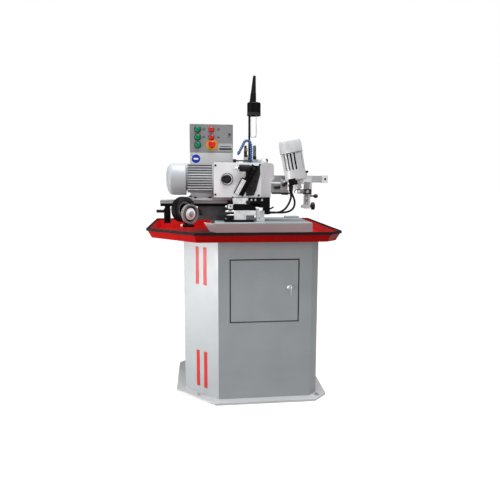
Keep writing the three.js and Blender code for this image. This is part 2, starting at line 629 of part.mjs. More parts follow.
function buildBar() {
  const bar = block(HEAD.right - 9, 434, BAR.front, BAR.back, BAR.low, BAR.high);
  const end = block(433, BAR.right, BAR.front - 6, BAR.back + 6, BAR.low - 1, BAR.high + 1);
  const hole = along(rod(6, 40, 16), 450, BAR.front - 12, (BAR.low + BAR.high) / 2, BACK);
  add('rear_bar', cut(join(bar, end), hole), GREY);

  const bracket = join(
    block(HEAD.right - 14 + GAP, 244, -126, -66, 1038, 1074),
    block(HEAD.right - 14 + GAP, 250, -132, -60, 1026, 1039),
    block(222, 250, -128, -64, 1013, 1027),
  );
  add('side_bracket', cut(bracket, along(rod(5.5, 20, 12), PEAR.x, -116, PEAR.z, FRONT)), GREY);
  const pear = join(
    along(rod(5, 22, 12), PEAR.x, -140, PEAR.z, BACK),
    along(turned([[0, 0], [5, 0], [9, 14], [9, 26], [5, 32], [0, 33]], 14), PEAR.x - 5, -142, PEAR.z, RIGHT),
  );
  add('pear_handle', pear, BLACK);
}

function buildCarriage() {
  const { left, right, front, back, low, high } = CARRIAGE;
  const sleeve = block(left, right, front, back, low, high);
  const way = block(left - 5, right + 5, BAR.front - 0.4, BAR.back + 0.4, BAR.low - 0.4, BAR.high + 0.4);
  const arm = block(right - 1, 374, front, front + 14, 1072, 1112);
  const guide = block(350, 374, front, front + 14, 1004, 1110);
  const pivotHole = along(rod(12.4, 30, 20), TILT.x, front - 5, TILT.z, BACK);
  const pillar = along(turned([[0, 0], [5, 0], [5, 18], [10, 20], [10, 30], [6, 35], [0, 35]], 16),
    344, front + 7, 1111, UP);
  const glands = CARRIAGE_GLANDS.map(([x, y]) => along(rod(6.5, 14, 12), x, y, GLAND_LOW + 14, DOWN));
  const outlet = block(left - 8, left + 18, front, -94, GLAND_LOW + 10, low + 1);
  add('carriage', cut(join(sleeve, arm, guide, pillar, outlet, ...glands), way, pivotHole), WHITE);
}

function buildTiltMotor() {
  const bell = turned([[0, 0], [50, 0], [54.5, 4], [54.5, 52], [0, 52]], 32);
  let body = join(leaning(bell, 0), leaning(rod(46, 100, 28), 36));
  for (let i = 0; i < FINS.tilt; i += 1) {
    const fin = new THREE.BoxGeometry(12, 3, 97);
    fin.translate(49, 0, 48.5);
    fin.rotateZ(i * 2 * Math.PI / FINS.tilt);
    body = body.add(leaning(fin, 37));
  }
  const pivot = along(rod(12, 60, 20), TILT.x, CARRIAGE.front - 36, TILT.z, BACK)
    .intersect(block(200, 400, -400, CARRIAGE.front + 14, 900, 1200));
  const mount = join(
    leaning(new THREE.BoxGeometry(64, 30, 34).translate(0, 23.2, 0), 12),
    leaning(new THREE.BoxGeometry(40, 34, 50).translate(6, 0, -24), 6),
  );
  add('tilt_motor_body', cut(join(body, pivot, mount), leaning(rod(10.5, 60, 20), -46)), LIGHT);
  const cap = turned([[0, 0], [57, 0], [57, 51], [52, 65], [40, 73], [20, 77], [0, 77]], 36);
  add('tilt_motor_cap', leaning(cap, 136 + GAP), WHITE);
  const nose = turned([[0, 0], [9, 0], [20, 3], [20, 15], [13, 18], [10, 22], [10, 60], [0, 60]], 24);
  add('tilt_spindle', leaning(nose, -67), STEEL);
}

function buildVerticalSlide() {
  const back = CARRIAGE.front - GAP;
  const plate = join(
    block(SLIDE.left, SLIDE.right, SLIDE.front, back, SLIDE.low, SLIDE.high),
    along(rod(8, 16, 16), SLIDE.left + 1, -140, SLIDE.low + 12, LEFT),
  );
  const screwHole = along(rod(4.4, 30, 12), SLIDE.right + 1, -140, 957, LEFT);
  const leverHole = along(rod(4.4, 30, 12), SLIDE.right + 1, -140, 1009, LEFT);
  add('vertical_slide', cut(plate, screwHole, leverHole), ALLOY);

  const knob = turned([[0, -20], [4, -20], [4, 0], [8, 0], [8, 6], [19, 8], [20, 12], [20, 22],
    [16, 25], [0, 25]], 20);
  add('slide_knob', along(knob, SLIDE.right + GAP, -140, 957, RIGHT), BLACK);
  const lever = turned([[0, -16], [4, -16], [4, 18], [9, 22], [11, 30], [9, 39], [0, 43]], 16);
  add('slide_lever', along(lever, SLIDE.right + GAP, -140, 1009, RIGHT), BLACK);
}

// ---------------------------------------------------------------- work holder below the head
function buildWorkHolder() {
  const { low } = HEAD;
  const saddle = join(
    block(36, 118, -186, -20, 972, low - GAP),
    block(92, 118, -186, -20, 951, 973),
    block(36, 118, -130, -20, 951, 973),
    block(117, 150, -150, -100, 914, low - GAP),
    block(122, 136, -156, -116, 914, 950),
    along(turned([[0, 0], [4, 0], [4, 50], [0, 50]], 12), 128, -132, 928, [0.88, 0, 0.47]),
    ...BLOCK_GLANDS.map((y) => along(rod(6.5, 24, 12), GLAND_RIGHT - 24, y, GLAND_Z, RIGHT)),
  );
  const bore = along(rod(10.5, 60, 20), DRIVE_X, MOTOR.y, 957, UP);
  add('drive_block', cut(saddle, bore), BLACK);

  add('work_slide_base', block(-86, 60, -216, -120, BED.top + GAP, 891), BLACK);
  const casting = join(
    block(-38, 24, -206, -134, 891 + GAP, 938),
    block(22, 72, -200, -140, 912, 938),
    block(22, 62, -214, -150, 891 + GAP, 913),
    along(rod(4.6, 44, 16), -37, -196, 933, LEFT),
    along(rod(4, 38, 16), -37, -196, 914, LEFT),
  );
  add('work_casting', casting, ALLOY);

  const arch = frontPrism(outline([[-38, 938.3], [72, 938.3], [72, 952], [52, 966], [-38, 970.7]]),
    -198, -136);
  add('cradle', arch, BLACK);
  const holder = join(
    block(-46, 32, -196, -142, 971, 1000),
    block(-70, -45, -200, -150, 945, 986),
    along(rod(3, 20, 12), -50, -175, 985, [0.35, 0, 1]),
    along(turned([[0, 0], [4, 0], [8, 3], [8, 10], [0, 12]], 16), 24, -195, 976, FRONT),
  );
  const chuckHole = along(rod(8.4, 30, 20), -57, -201, 958, BACK);
  add('work_holder', cut(holder, chuckHole), ALLOY);
  const plate = cut(
    join(block(-67, -47, -206, -200 - GAP, 948, 968), along(rod(8, 24, 20), -57, -201, 958, BACK)),
    along(rod(4, 20, 16), -57, -208, 958, BACK),
  );
  add('index_chuck', plate, LABEL);
}

// ---------------------------------------------------------------- cables of the second motor
function buildCables() {
  const left = [[262, -121, 1045.7], [262, -121, 1032], [264, -122, 1018], [264, -124, 1002],
    [260, -126, 986], [253, -129, 970], [244, -132, 956], [233, -136, 943], [219, -140, 933],
    [211, -142, 929], [203, -143, 926], [187, -145, 923.5], [172, -146, 923], [165, -146, 923],
    [156.3, -146, 923]];
  add('cable_left', tube(left, CABLE_RADIUS, 40, 8), RUBBER);
  const right = [[270, -103, 1045.7], [270, -103, 1031], [275, -104, 1015], [282, -105, 999],
    [287, -107, 982], [287, -109, 965], [282, -112, 949], [271, -115, 936], [256, -118, 928],
    [238, -121, 923.5], [219, -124, 922], [199, -126, 922], [181, -127, 922.7], [168, -127, 923],
    [156.3, -127, 923]];
  add('cable_right', tube(right, CABLE_RADIUS, 44, 8), RUBBER);
}

buildStand();
buildTank();
buildDoor();
buildTray();
buildBed();
buildBeam();
buildMotor();
buildDrive();
buildHead();
buildHeadControls();
buildWheelUnit();
buildCabinet();
buildButtons();
buildLamp();
buildCoolant();
buildBar();
buildCarriage();
buildTiltMotor();
buildVerticalSlide();
buildWorkHolder();
buildCables();

export default machine;
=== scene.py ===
"""Looks of the tool grinding machine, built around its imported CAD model.

The scene is in metres, with +Z up and the front towards -Y. Shapes are drawn in millimetres.
"""
import json
import math

import bmesh
import bpy
from mathutils import Matrix, Vector
from mathutils.geometry import tessellate_polygon

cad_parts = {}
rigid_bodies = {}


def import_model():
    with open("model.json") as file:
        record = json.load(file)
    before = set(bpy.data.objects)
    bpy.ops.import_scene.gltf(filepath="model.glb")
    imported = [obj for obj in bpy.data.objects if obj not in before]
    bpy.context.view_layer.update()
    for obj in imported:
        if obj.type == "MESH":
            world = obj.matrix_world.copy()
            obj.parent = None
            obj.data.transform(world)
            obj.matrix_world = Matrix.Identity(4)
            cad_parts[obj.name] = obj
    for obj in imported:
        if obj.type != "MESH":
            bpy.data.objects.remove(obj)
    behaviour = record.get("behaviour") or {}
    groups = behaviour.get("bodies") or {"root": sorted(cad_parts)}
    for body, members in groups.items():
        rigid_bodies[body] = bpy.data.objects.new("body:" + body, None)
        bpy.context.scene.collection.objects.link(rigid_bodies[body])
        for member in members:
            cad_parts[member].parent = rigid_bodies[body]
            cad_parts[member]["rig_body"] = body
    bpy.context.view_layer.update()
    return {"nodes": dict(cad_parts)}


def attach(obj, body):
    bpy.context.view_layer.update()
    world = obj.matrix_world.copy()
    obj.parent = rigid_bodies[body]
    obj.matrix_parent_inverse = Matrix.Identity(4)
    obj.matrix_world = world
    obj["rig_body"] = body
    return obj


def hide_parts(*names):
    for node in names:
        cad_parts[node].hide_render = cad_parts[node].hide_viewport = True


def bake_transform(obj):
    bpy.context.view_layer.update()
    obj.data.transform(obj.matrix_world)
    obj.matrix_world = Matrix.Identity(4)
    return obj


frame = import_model()
MM = 0.001
TURN = 2 * math.pi

# ------------------------------------------------------------------ camera
CAMERA_AT = (-0.1987, -2.7057, 1.1003)
YAW = math.radians(-7.04)
PITCH = math.radians(7.42)
ROLL = math.radians(0.38)
LENS = 35.85
SHIFT = (-0.0267, -0.014)


def make_camera():
    level_ahead = Vector((-math.sin(YAW), math.cos(YAW), 0))
    ahead = level_ahead * math.cos(PITCH) - Vector((0, 0, math.sin(PITCH)))
    level = Vector((math.cos(YAW), math.sin(YAW), 0))
    above = level.cross(ahead)
    right = math.cos(ROLL) * level + math.sin(ROLL) * above
    up = -math.sin(ROLL) * level + math.cos(ROLL) * above
    camera = bpy.data.objects.new("camera", bpy.data.cameras.new("camera"))
    camera.data.lens = LENS
    camera.data.shift_x, camera.data.shift_y = SHIFT
    turn = Matrix((right, up, -ahead)).transposed().to_4x4()
    camera.matrix_world = Matrix.Translation(CAMERA_AT) @ turn
    bpy.context.scene.collection.objects.link(camera)
    bpy.context.scene.camera = camera


make_camera()


# ------------------------------------------------------------------ materials
class Nodes:
    """A material under construction: its Principled shader and the nodes that feed it."""

    def __init__(self, name, rough, metal=0.0):
        self.material = bpy.data.materials.new(name)
        self.material.use_nodes = True
        self.tree = self.material.node_tree
        self.shader = self.tree.nodes["Principled BSDF"]
        self.shader.inputs["Roughness"].default_value = rough
        self.shader.inputs["Metallic"].default_value = metal
        self.coords = self.tree.nodes.new("ShaderNodeTexCoord")

    def put(self, kind, **values):
        node = self.tree.nodes.new(kind)
        for name, value in values.items():
            node.inputs[name].default_value = value
        return node

    def link(self, source, target):
        self.tree.links.new(source, target)

    def noise(self, scale, detail, stretch=(1, 1, 1)):
        spread = self.put("ShaderNodeMapping", Scale=stretch)
        self.link(self.coords.outputs["Object"], spread.inputs["Vector"])
        node = self.put("ShaderNodeTexNoise", Scale=scale, Detail=detail)
        self.link(spread.outputs["Vector"], node.inputs["Vector"])
        return node.outputs["Fac"]

    def ramp(self, value, low, high, first, last):
        node = self.tree.nodes.new("ShaderNodeValToRGB")
        for stop, place, colour in zip(node.color_ramp.elements, (low, high), (first, last)):
            stop.position = place
            stop.color = (*colour, 1)
        self.link(value, node.inputs["Fac"])
        return node.outputs["Color"]

    def colour(self, value, low, high, first, last):
        self.link(self.ramp(value, low, high, first, last), self.shader.inputs["Base Color"])

    def roughen(self, value, first, last):
        shade = self.ramp(value, 0.35, 0.65, (first,) * 3, (last,) * 3)
        self.link(shade, self.shader.inputs["Roughness"])

    def bump(self, value, strength, distance=0.0004):
        node = self.put("ShaderNodeBump", Strength=strength, Distance=distance)
        self.link(value, node.inputs["Height"])
        self.link(node.outputs["Normal"], self.shader.inputs["Normal"])


def tint(colour, factor):
    return tuple(min(1.0, max(0.0, channel * factor)) for channel in colour)


def enamel(name, colour, rough=0.33, peel=0.12, coat=0.1, shine=0.35):
    """Sprayed enamel: fine orange peel, slightly cloudy colour and a few duller patches."""
    made = Nodes(name, rough)
    made.colour(made.noise(9, 4), 0.3, 0.7, tint(colour, 0.95), tint(colour, 1.03))
    made.roughen(made.noise(22, 4), rough - 0.05, rough + 0.1)
    made.bump(made.noise(420, 2), peel)
    made.shader.inputs["Specular IOR Level"].default_value = shine
    made.shader.inputs["Coat Weight"].default_value = coat
    made.shader.inputs["Coat Roughness"].default_value = 0.2
    return made.material


def casting(name, colour):
    """A sand casting under thin paint: coarse pitting and uneven tone."""
    made = Nodes(name, 0.55)
    made.colour(made.noise(35, 5), 0.3, 0.72, tint(colour, 0.72), tint(colour, 1.25))
    made.roughen(made.noise(60, 4), 0.43, 0.7)
    made.bump(made.noise(170, 6), 0.6, 0.0012)
    return made.material


def machined(name, colour, rough=0.28, stretch=(1, 1, 40)):
    """Turned or ground metal: fine lines along one way, and a few darker stains."""
    made = Nodes(name, rough, metal=1.0)
    made.colour(made.noise(45, 4), 0.32, 0.62, tint(colour, 0.72), colour)
    lines = made.noise(240, 2, stretch)
    made.roughen(lines, rough - 0.08, rough + 0.12)
    made.bump(lines, 0.18, 0.0003)
    return made.material


def oxide(name, colour, rough=0.42):
    """Black oxide or black paint, with grey rubbed patches."""
    made = Nodes(name, rough)
    made.colour(made.noise(70, 6), 0.55, 0.85, colour, tint(colour, 2))
    made.shader.inputs["Specular IOR Level"].default_value = 0.07
    made.roughen(made.noise(110, 4), rough - 0.1, rough + 0.16)
    made.bump(made.noise(520, 3), 0.22)
    return made.material


def moulded(name, colour, rough=0.4, grain=700, depth=0.15, shine=0.3):
    """Moulded plastic or rubber with a fine grain."""
    made = Nodes(name, rough)
    made.colour(made.noise(30, 3), 0.3, 0.7, tint(colour, 0.86), tint(colour, 1.12))
    made.roughen(made.noise(90, 3), rough - 0.05, rough + 0.08)
    made.shader.inputs["Specular IOR Level"].default_value = shine
    made.bump(made.noise(grain, 2), depth)
    return made.material


def abrasive(name, colour):
    """Bonded grit: speckled grains that stand proud."""
    made = Nodes(name, 0.9)
    grains = made.noise(900, 4)
    made.colour(grains, 0.38, 0.62, tint(colour, 0.5), tint(colour, 1.35))
    made.bump(grains, 0.8, 0.0008)
    return made.material


M = {
    "white": enamel("white_enamel", (0.86, 0.875, 0.89)),
    "pedestal": enamel("pedestal_enamel", (0.345, 0.365, 0.375), rough=0.38),
    "shell": enamel("shell_enamel", (0.62, 0.63, 0.64)),
    "light": enamel("light_enamel", (0.46, 0.48, 0.50)),
    "grey": enamel("grey_enamel", (0.40, 0.41, 0.42), rough=0.42),
    "bed": enamel("bed_enamel", (0.33, 0.37, 0.385), rough=0.42),
    "panel": enamel("panel_enamel", (0.235, 0.235, 0.24), rough=0.45),
    "cabinet": enamel("cabinet_enamel", (0.56, 0.56, 0.57), rough=0.42),
    "fins": enamel("fin_enamel", (0.50, 0.52, 0.54), rough=0.45),
    "tray": enamel("tray_enamel", (0.44, 0.002, 0.002), rough=0.3, coat=0, shine=0.03),
    "stripe": enamel("stripe_vinyl", (0.50, 0.012, 0.010), rough=0.35, peel=0.03, coat=0,
                     shine=0.2),
    "black": oxide("black_oxide", (0.0035, 0.0035, 0.004)),
    "graphite": oxide("graphite_plate", (0.032, 0.032, 0.034), rough=0.4),
    "cast": casting("dark_casting", (0.088, 0.105, 0.112)),
    "stone": casting("grey_casting", (0.26, 0.265, 0.26)),
    "steel": machined("ground_steel", (0.62, 0.63, 0.64)),
    "alloy": machined("milled_alloy", (0.80, 0.81, 0.81), rough=0.34, stretch=(40, 1, 1)),
    "chrome": machined("chrome_plate", (0.88, 0.88, 0.89), rough=0.13, stretch=(1, 1, 8)),
    "brass": machined("brass_fitting", (0.66, 0.36, 0.12), rough=0.3),
    "rubber": moulded("black_rubber", (0.007, 0.007, 0.008), rough=0.62, grain=900, depth=0.3,
                      shine=0.1),
    "cable": moulded("cable_sheath", (0.006, 0.006, 0.007), rough=0.48, shine=0.25),
    "plastic": moulded("black_plastic", (0.007, 0.007, 0.008), rough=0.36, shine=0.25),
    "cream": moulded("cream_plastic", (0.66, 0.62, 0.50), rough=0.4),
    "green": moulded("green_plastic", (0.0, 0.19, 0.075), rough=0.25),
    "red": moulded("red_plastic", (0.62, 0.010, 0.012), rough=0.25),
    "yellow": moulded("yellow_plate", (0.62, 0.30, 0.005), rough=0.4),
    "blue": moulded("blue_plastic", (0.008, 0.085, 0.26), rough=0.3, shine=0.6),
    "sticker": moulded("blue_print", (0.012, 0.035, 0.36), rough=0.4, depth=0.02),
    "paper": moulded("white_print", (0.88, 0.89, 0.90), rough=0.45, depth=0.02),
    "grit": abrasive("bonded_grit", (0.21, 0.21, 0.205)),
    "lens": moulded("lamp_lens", (0.62, 0.63, 0.60), rough=0.2),
    "tank": enamel("tank_enamel", (0.07, 0.10, 0.13), rough=0.5),
}


# ------------------------------------------------------------------ mesh building
def frame_at(origin, way):
    """Places something drawn up its own +Z: it starts at origin, in mm, and points along way."""
    spin = Vector((0, 0, 1)).rotation_difference(Vector(way)).to_matrix().to_4x4()
    return Matrix.Translation(Vector(origin)) @ spin


# Drawn X and Y become X and Z, and drawn height points to the front.
FACING = Matrix(((1, 0, 0, 0), (0, 0, -1, 0), (0, 1, 0, 0), (0, 0, 0, 1)))


def facing(y):
    """For a shape drawn in X and Z: its height grows from this y towards the front."""
    return Matrix.Translation((0, y, 0)) @ FACING


class Shape:
    """Collects closed solids, in millimetres, and turns them into one piece."""

    def __init__(self):
        self.points, self.faces = [], []

    def add(self, points, faces, place=None):
        base = len(self.points)
        self.points += [(place @ Vector(p) if place else Vector(p)) * MM for p in points]
        self.faces += [[base + i for i in face] for face in faces]
        return self

    def lathe(self, profile, origin, way, sides, hexes=(), ribs=0, depth=0.0):
        """Turns a profile of [radius, height] pairs.

        The rings numbered in hexes are six-sided. The widest rings get ribs, cut in by depth.
        """
        points, faces, rings = [], [], []
        widest = max(radius for radius, _ in profile)
        for number, (radius, height) in enumerate(profile):
            if radius == 0:
                rings.append([len(points)])
                points.append((0, 0, height))
                continue
            rings.append(list(range(len(points), len(points) + sides)))
            for i in range(sides):
                angle = TURN * i / sides
                reach = radius
                if number in hexes:
                    off = (angle + TURN / 12) % (TURN / 6) - TURN / 12
                    reach = radius * math.cos(TURN / 12) / math.cos(off)
                elif ribs and radius > 0.97 * widest and i * ribs * 2 // sides % 2:
                    reach = radius - depth
                points.append((reach * math.cos(angle), reach * math.sin(angle), height))
        for low, high in zip(rings, rings[1:]):
            for i in range(sides):
                j = (i + 1) % sides
                if len(low) == 1 and len(high) > 1:
                    faces.append((low[0], high[j], high[i]))
                elif len(high) == 1 and len(low) > 1:
                    faces.append((low[i], low[j], high[0]))
                elif len(low) > 1:
                    faces.append((low[i], low[j], high[j], high[i]))
        return self.add(points, faces, frame_at(origin, way))

    def prism(self, loops, low, high, place=None):
        """loops are an outline and its holes, drawn in X and Y, pushed from low to high."""
        flat = [point for loop in loops for point in loop]
        count = len(flat)
        points = [(x, y, z) for z in (low, high) for x, y in flat]
        caps = tessellate_polygon([[Vector((x, y, 0)) for x, y in loop] for loop in loops])
        faces = [tuple(cap) for cap in caps] + [tuple(i + count for i in cap) for cap in caps]
        start = 0
        for loop in loops:
            for i in range(len(loop)):
                a, b = start + i, start + (i + 1) % len(loop)
                faces.append((a, b, b + count, a + count))
            start += len(loop)
        return self.add(points, faces, place)

    def block(self, low, high, place=None):
        corners = [(low[0], low[1]), (high[0], low[1]), (high[0], high[1]), (low[0], high[1])]
        return self.prism([corners], low[2], high[2], place)

    def tube(self, line, radius, sides=16):
        """A round tube through the points; radius is one number, or one for each point."""
        line = [Vector(p) for p in line]
        radii = radius if isinstance(radius, list) else [radius] * len(line)
        side = None
        points, faces = [], []
        for i, point in enumerate(line):
            ahead = (line[min(i + 1, len(line) - 1)] - line[max(i - 1, 0)]).normalized()
            if side is None:
                side = ahead.orthogonal().normalized()
            side = (side - ahead * side.dot(ahead)).normalized()
            other = ahead.cross(side)
            for k in range(sides):
                angle = TURN * k / sides
                points.append(point + radii[i] * (math.cos(angle) * side + math.sin(angle) * other))
        for i in range(len(line) - 1):
            for k in range(sides):
                a, b = i * sides + k, i * sides + (k + 1) % sides
                faces.append((a, b, b + sides, a + sides))
        last = (len(line) - 1) * sides
        faces += [tuple(range(sides)), tuple(range(last, last + sides))]
        return self.add(points, faces)

    def piece(self, name, material, body, slot, bevel, sharp=35):
        """Makes the object, which rides on the body."""
        mesh = bpy.data.meshes.new(name)
        mesh.from_pydata([tuple(p) for p in self.points], [], self.faces)
        work = bmesh.new()
        work.from_mesh(mesh)
        bmesh.ops.remove_doubles(work, verts=work.verts, dist=1e-7)
        bmesh.ops.recalc_face_normals(work, faces=work.faces)
        work.to_mesh(mesh)
        work.free()
        made = bpy.data.objects.new(name, mesh)
        bpy.context.scene.collection.objects.link(made)
        finish_surface(made, material, bevel, sharp)
        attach(made, body)
        return made


def finish_surface(made, material, bevel, sharp=35):
    """Smooth shading with every sharp edge rounded by bevel millimetres, or left sharp at 0."""
    made.data.materials.clear()
    made.data.materials.append(M[material])
    made.data.shade_smooth()
    if bevel:
        rounding = made.modifiers.new("rounding", "BEVEL")
        rounding.width = bevel * MM
        rounding.segments = 2
        rounding.limit_method = "ANGLE"
        rounding.angle_limit = math.radians(sharp)
        rounding.harden_normals = True
        rounding.use_clamp_overlap = True
    else:
        made.data.set_sharp_from_angle(angle=math.radians(sharp))


def dress(node, material, bevel):
    """Gives a CAD node its surface: flat facets merged, edges rounded, and the material."""
    made = frame["nodes"][node]
    for leftover in ("custom_normal", "sharp_face", "sharp_edge"):
        if leftover in made.data.attributes:
            made.data.attributes.remove(made.data.attributes[leftover])
    weld = made.modifiers.new("weld", "WELD")
    weld.merge_threshold = 1e-6
    merge = made.modifiers.new("merge", "DECIMATE")
    merge.decimate_type = "DISSOLVE"
    merge.angle_limit = math.radians(0.4)
    finish_surface(made, material, bevel)


def sleeve(inner, outer, low, high):
    """Profile of a plain round wall."""
    return [[inner, low], [outer, low], [outer, high], [inner, high], [inner, low]]


def plug(radius, length):
    """Profile of a plain round bar."""
    return [[0, 0], [radius, 0], [radius, length], [0, length]]


def ring_points(cx, cy, radius, sides, backwards=False):
    """A circle drawn in X and Y; a hole runs backwards."""
    angles = [TURN * i / sides for i in range(sides)]
    points = [(cx + radius * math.cos(a), cy + radius * math.sin(a)) for a in angles]
    return points[::-1] if backwards else points


def smooth_line(points, steps):
    """A Catmull-Rom line through the points, in the same units."""
    padded = [points[0], *points, points[-1]]
    line = []
    for i in range(len(points) - 1):
        p0, p1, p2, p3 = (Vector(p) for p in padded[i:i + 4])
        for k in range(steps):
            t = k / steps
            line.append(0.5 * (2 * p1 + (p2 - p0) * t + (2 * p0 - 5 * p1 + 4 * p2 - p3) * t ** 2
                               + (3 * p1 - p0 - 3 * p2 + p3) * t ** 3))
    return [*line, Vector(points[-1])]


FRONT, BACK = (0, -1, 0), (0, 1, 0)
LEFT, RIGHT = (-1, 0, 0), (1, 0, 0)
UP = (0, 0, 1)


def cap_screw(shape, at, way, radius, height):
    """A socket-head screw with a six-sided recess."""
    recess = radius * 0.58
    profile = [[0, 0], [radius, 0], [radius, height * 0.85], [radius * 0.9, height],
               [recess * 1.05, height], [recess, height * 0.45], [0, height * 0.45]]
    shape.lathe(profile, at, way, 24, hexes=(4, 5))


def hex_bolt(shape, at, way, radius, height):
    """A hexagon head on its washer."""
    profile = [[0, 0], [radius * 1.35, 0], [radius * 1.35, 1.6], [radius, 1.7], [radius, height],
               [radius * 0.8, height + 0.8], [0, height + 0.8]]
    shape.lathe(profile, at, way, 24, hexes=(3, 4))


# ------------------------------------------------------------------ the second motor's two cables
CABLE_RADIUS = 5.5
LEFT_GLAND, RIGHT_GLAND = (262, -121), (270, -103)      # under the carriage
LEFT_CABLE = [
    (*LEFT_GLAND, 1045.7), (*LEFT_GLAND, 1032), (264, -122, 1018), (264, -124, 1002),
    (260, -126, 986), (253, -129, 970), (244, -132, 956), (233, -136, 943), (219, -140, 933),
    (211, -142, 929), (203, -143, 926), (187, -145, 923.5), (172, -146, 923), (165, -146, 923),
    (156.3, -146, 923)]
RIGHT_CABLE = [
    (*RIGHT_GLAND, 1045.7), (*RIGHT_GLAND, 1031), (275, -104, 1015), (282, -105, 999),
    (287, -107, 982), (287, -109, 965), (282, -112, 949), (271, -115, 936), (256, -118, 928),
    (238, -121, 923.5), (219, -124, 922), (199, -126, 922), (181, -127, 922.7),
    (168, -127, 923), (156.3, -127, 923)]


def make_cable(name, route, node):
    """A cable tube along the route, which takes the CAD node's place and rides on no body."""
    line = smooth_line(route, 5)
    sheath = Shape().tube(line, CABLE_RADIUS)
    made = sheath.piece(name, "cable", "frame", "rubber", bevel=0, sharp=60)
    made.parent = None
    made.matrix_world = Matrix.Identity(4)
    del made["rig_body"]
    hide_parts(node)
    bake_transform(made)


make_cable("motor_cable_left", LEFT_CABLE, "cable_left")
make_cable("motor_cable_right", RIGHT_CABLE, "cable_right")

# ------------------------------------------------------------------ CAD nodes and their surfaces
# Material and edge rounding, in mm, of each CAD node.
SURFACES = {
    "plinth_plate": ("shell", 0.8), "pedestal_shell": ("pedestal", 0.5),
    "door_panel": ("pedestal", 1.2), "door_seal": ("rubber", 0.3), "coolant_tank": ("tank", 0.8),
    "tray_pan": ("tray", 1.0), "tray_trim": ("rubber", 1.2), "bed": ("bed", 0.9),
    "column_casting": ("cast", 1.5), "beam": ("grey", 0.8), "beam_rail": ("black", 0.6),
    "clamp_block": ("black", 1.2), "clamp_handle": ("plastic", 0.5), "motor_foot": ("shell", 1.0),
    "motor_body": ("fins", 0.5), "motor_fan_cover": ("light", 0.8), "motor_rotor": ("steel", 0.3),
    "output_spindle": ("steel", 0.3), "head_housing": ("shell", 1.2),
    "head_cover": ("white", 0.8), "adjuster_disc": ("plastic", 0.7), "index_arm": ("black", 0.7),
    "plate_knob": ("plastic", 0.5), "wheel_guard": ("black", 0.8),
    "wheel_spindle": ("steel", 0.4), "grinding_wheel": ("grit", 0.6),
    "wheel_flange": ("paper", 0.4), "cabinet_box": ("cabinet", 1.0),
    "control_door": ("panel", 0.8), "lamp_post": ("black", 0.3), "lamp_hood": ("black", 0.4),
    "lamp_boot": ("rubber", 0.8), "valve_body": ("grey", 0.5), "valve_lever": ("plastic", 0.8),
    "rear_bar": ("light", 0.6), "side_bracket": ("grey", 0.8), "pear_handle": ("plastic", 0.4),
    "carriage": ("shell", 0.9), "tilt_motor_body": ("shell", 0.4),
    "tilt_motor_cap": ("shell", 0.8), "tilt_spindle": ("steel", 0.5),
    "vertical_slide": ("shell", 0.7), "slide_knob": ("plastic", 0.8),
    "slide_lever": ("plastic", 0.5), "drive_block": ("black", 0.8),
    "work_slide_base": ("black", 0.6), "work_casting": ("alloy", 0.7), "cradle": ("black", 0.8),
    "work_holder": ("alloy", 0.6), "index_chuck": ("alloy", 0.5),
    "start_button_1": ("green", 0.8), "start_button_2": ("green", 0.8),
    "start_button_3": ("green", 0.8), "stop_button_1": ("red", 0.8),
    "stop_button_2": ("red", 0.8), "estop_mushroom": ("red", 0.8), "door_lock": ("steel", 0.3),
}
for node_name, (surface, rounding_mm) in SURFACES.items():
    dress(node_name, surface, rounding_mm)


# ------------------------------------------------------------------ pedestal details
WIDE_FACE = ((-293, -178), (-125, -346))   # plan ends of the pedestal's wide left chamfer
STRIPE_SHARES = ((0.361, 0.452), (0.580, 0.677))
STRIPE_HEIGHTS = ((574, 764), (45, 234))
ANCHORS = ((-226, -282), (371, -343), (371, 323), (-226, 262))
PLINTH_TOP = 10


def on_wide_face(share, height, out):
    """A point on the wide chamfer, a share of the way from its left end and standing out."""
    (x0, y0), (x1, y1) = WIDE_FACE
    normal = Vector((-1, -1, 0)).normalized()
    return Vector((x0 + (x1 - x0) * share, y0 + (y1 - y0) * share, height)) + normal * out


def stripe(shape, left, right, low, high):
    """A thin vinyl stripe stuck to the wide chamfer."""
    corners = [on_wide_face(s, z, out) for out in (0.05, 0.5) for s, z in
               ((left, low), (right, low), (right, high), (left, high))]
    faces = [(0, 1, 2, 3), (4, 5, 6, 7), (0, 1, 5, 4), (1, 2, 6, 5), (2, 3, 7, 6), (3, 0, 4, 7)]
    shape.add(corners, faces)


def make_stripes():
    shape = Shape()
    for left, right in STRIPE_SHARES:
        for low, high in STRIPE_HEIGHTS:
            stripe(shape, left, right, low, high)
    shape.piece("pedestal_stripes", "stripe", "frame", "red_enamel", bevel=0)


def make_anchor_bolts():
    shape = Shape()
    for x, y in ANCHORS:
        hex_bolt(shape, (x, y, PLINTH_TOP), UP, radius=9, height=7)
    shape.piece("anchor_bolts", "steel", "frame", "steel", bevel=0.3)


make_stripes()
make_anchor_bolts()

# ------------------------------------------------------------------ control cabinet
PANEL_Y, CABINET_BACK = 75, 225
START_X, STOP_X, ROWS = -219, -145, (1361, 1319, 1277)
LEGENDS_X = (-185, -106)
ESTOP = (-142, 1280)
ESTOP_HOLE = 9.5
ESTOP_PLATE, ESTOP_NOTCH = 32.0, 16     # radii of the plate and of its notch for the stop button
STICKER = (-229, 1203)


def annulus(shape, x, z, y, inner, outer, height, sides=40):
    """A flat ring lying on a surface that faces the front."""
    profile = [[inner, 0], [outer, 0], [outer, height * 0.7], [outer - 0.3 * height, height],
               [inner, height], [inner, 0]]
    shape.lathe(profile, (x, y, z), FRONT, sides)


def make_bezels():
    shape = Shape()
    for z in ROWS:
        annulus(shape, START_X, z, PANEL_Y, 16.0, 18.6, 5.5)
    for z in ROWS[:2]:
        annulus(shape, STOP_X, z, PANEL_Y, 14.0, 15.8, 5.5)
    shape.piece("button_bezels", "graphite", "control_door", "black_plastic", bevel=0)


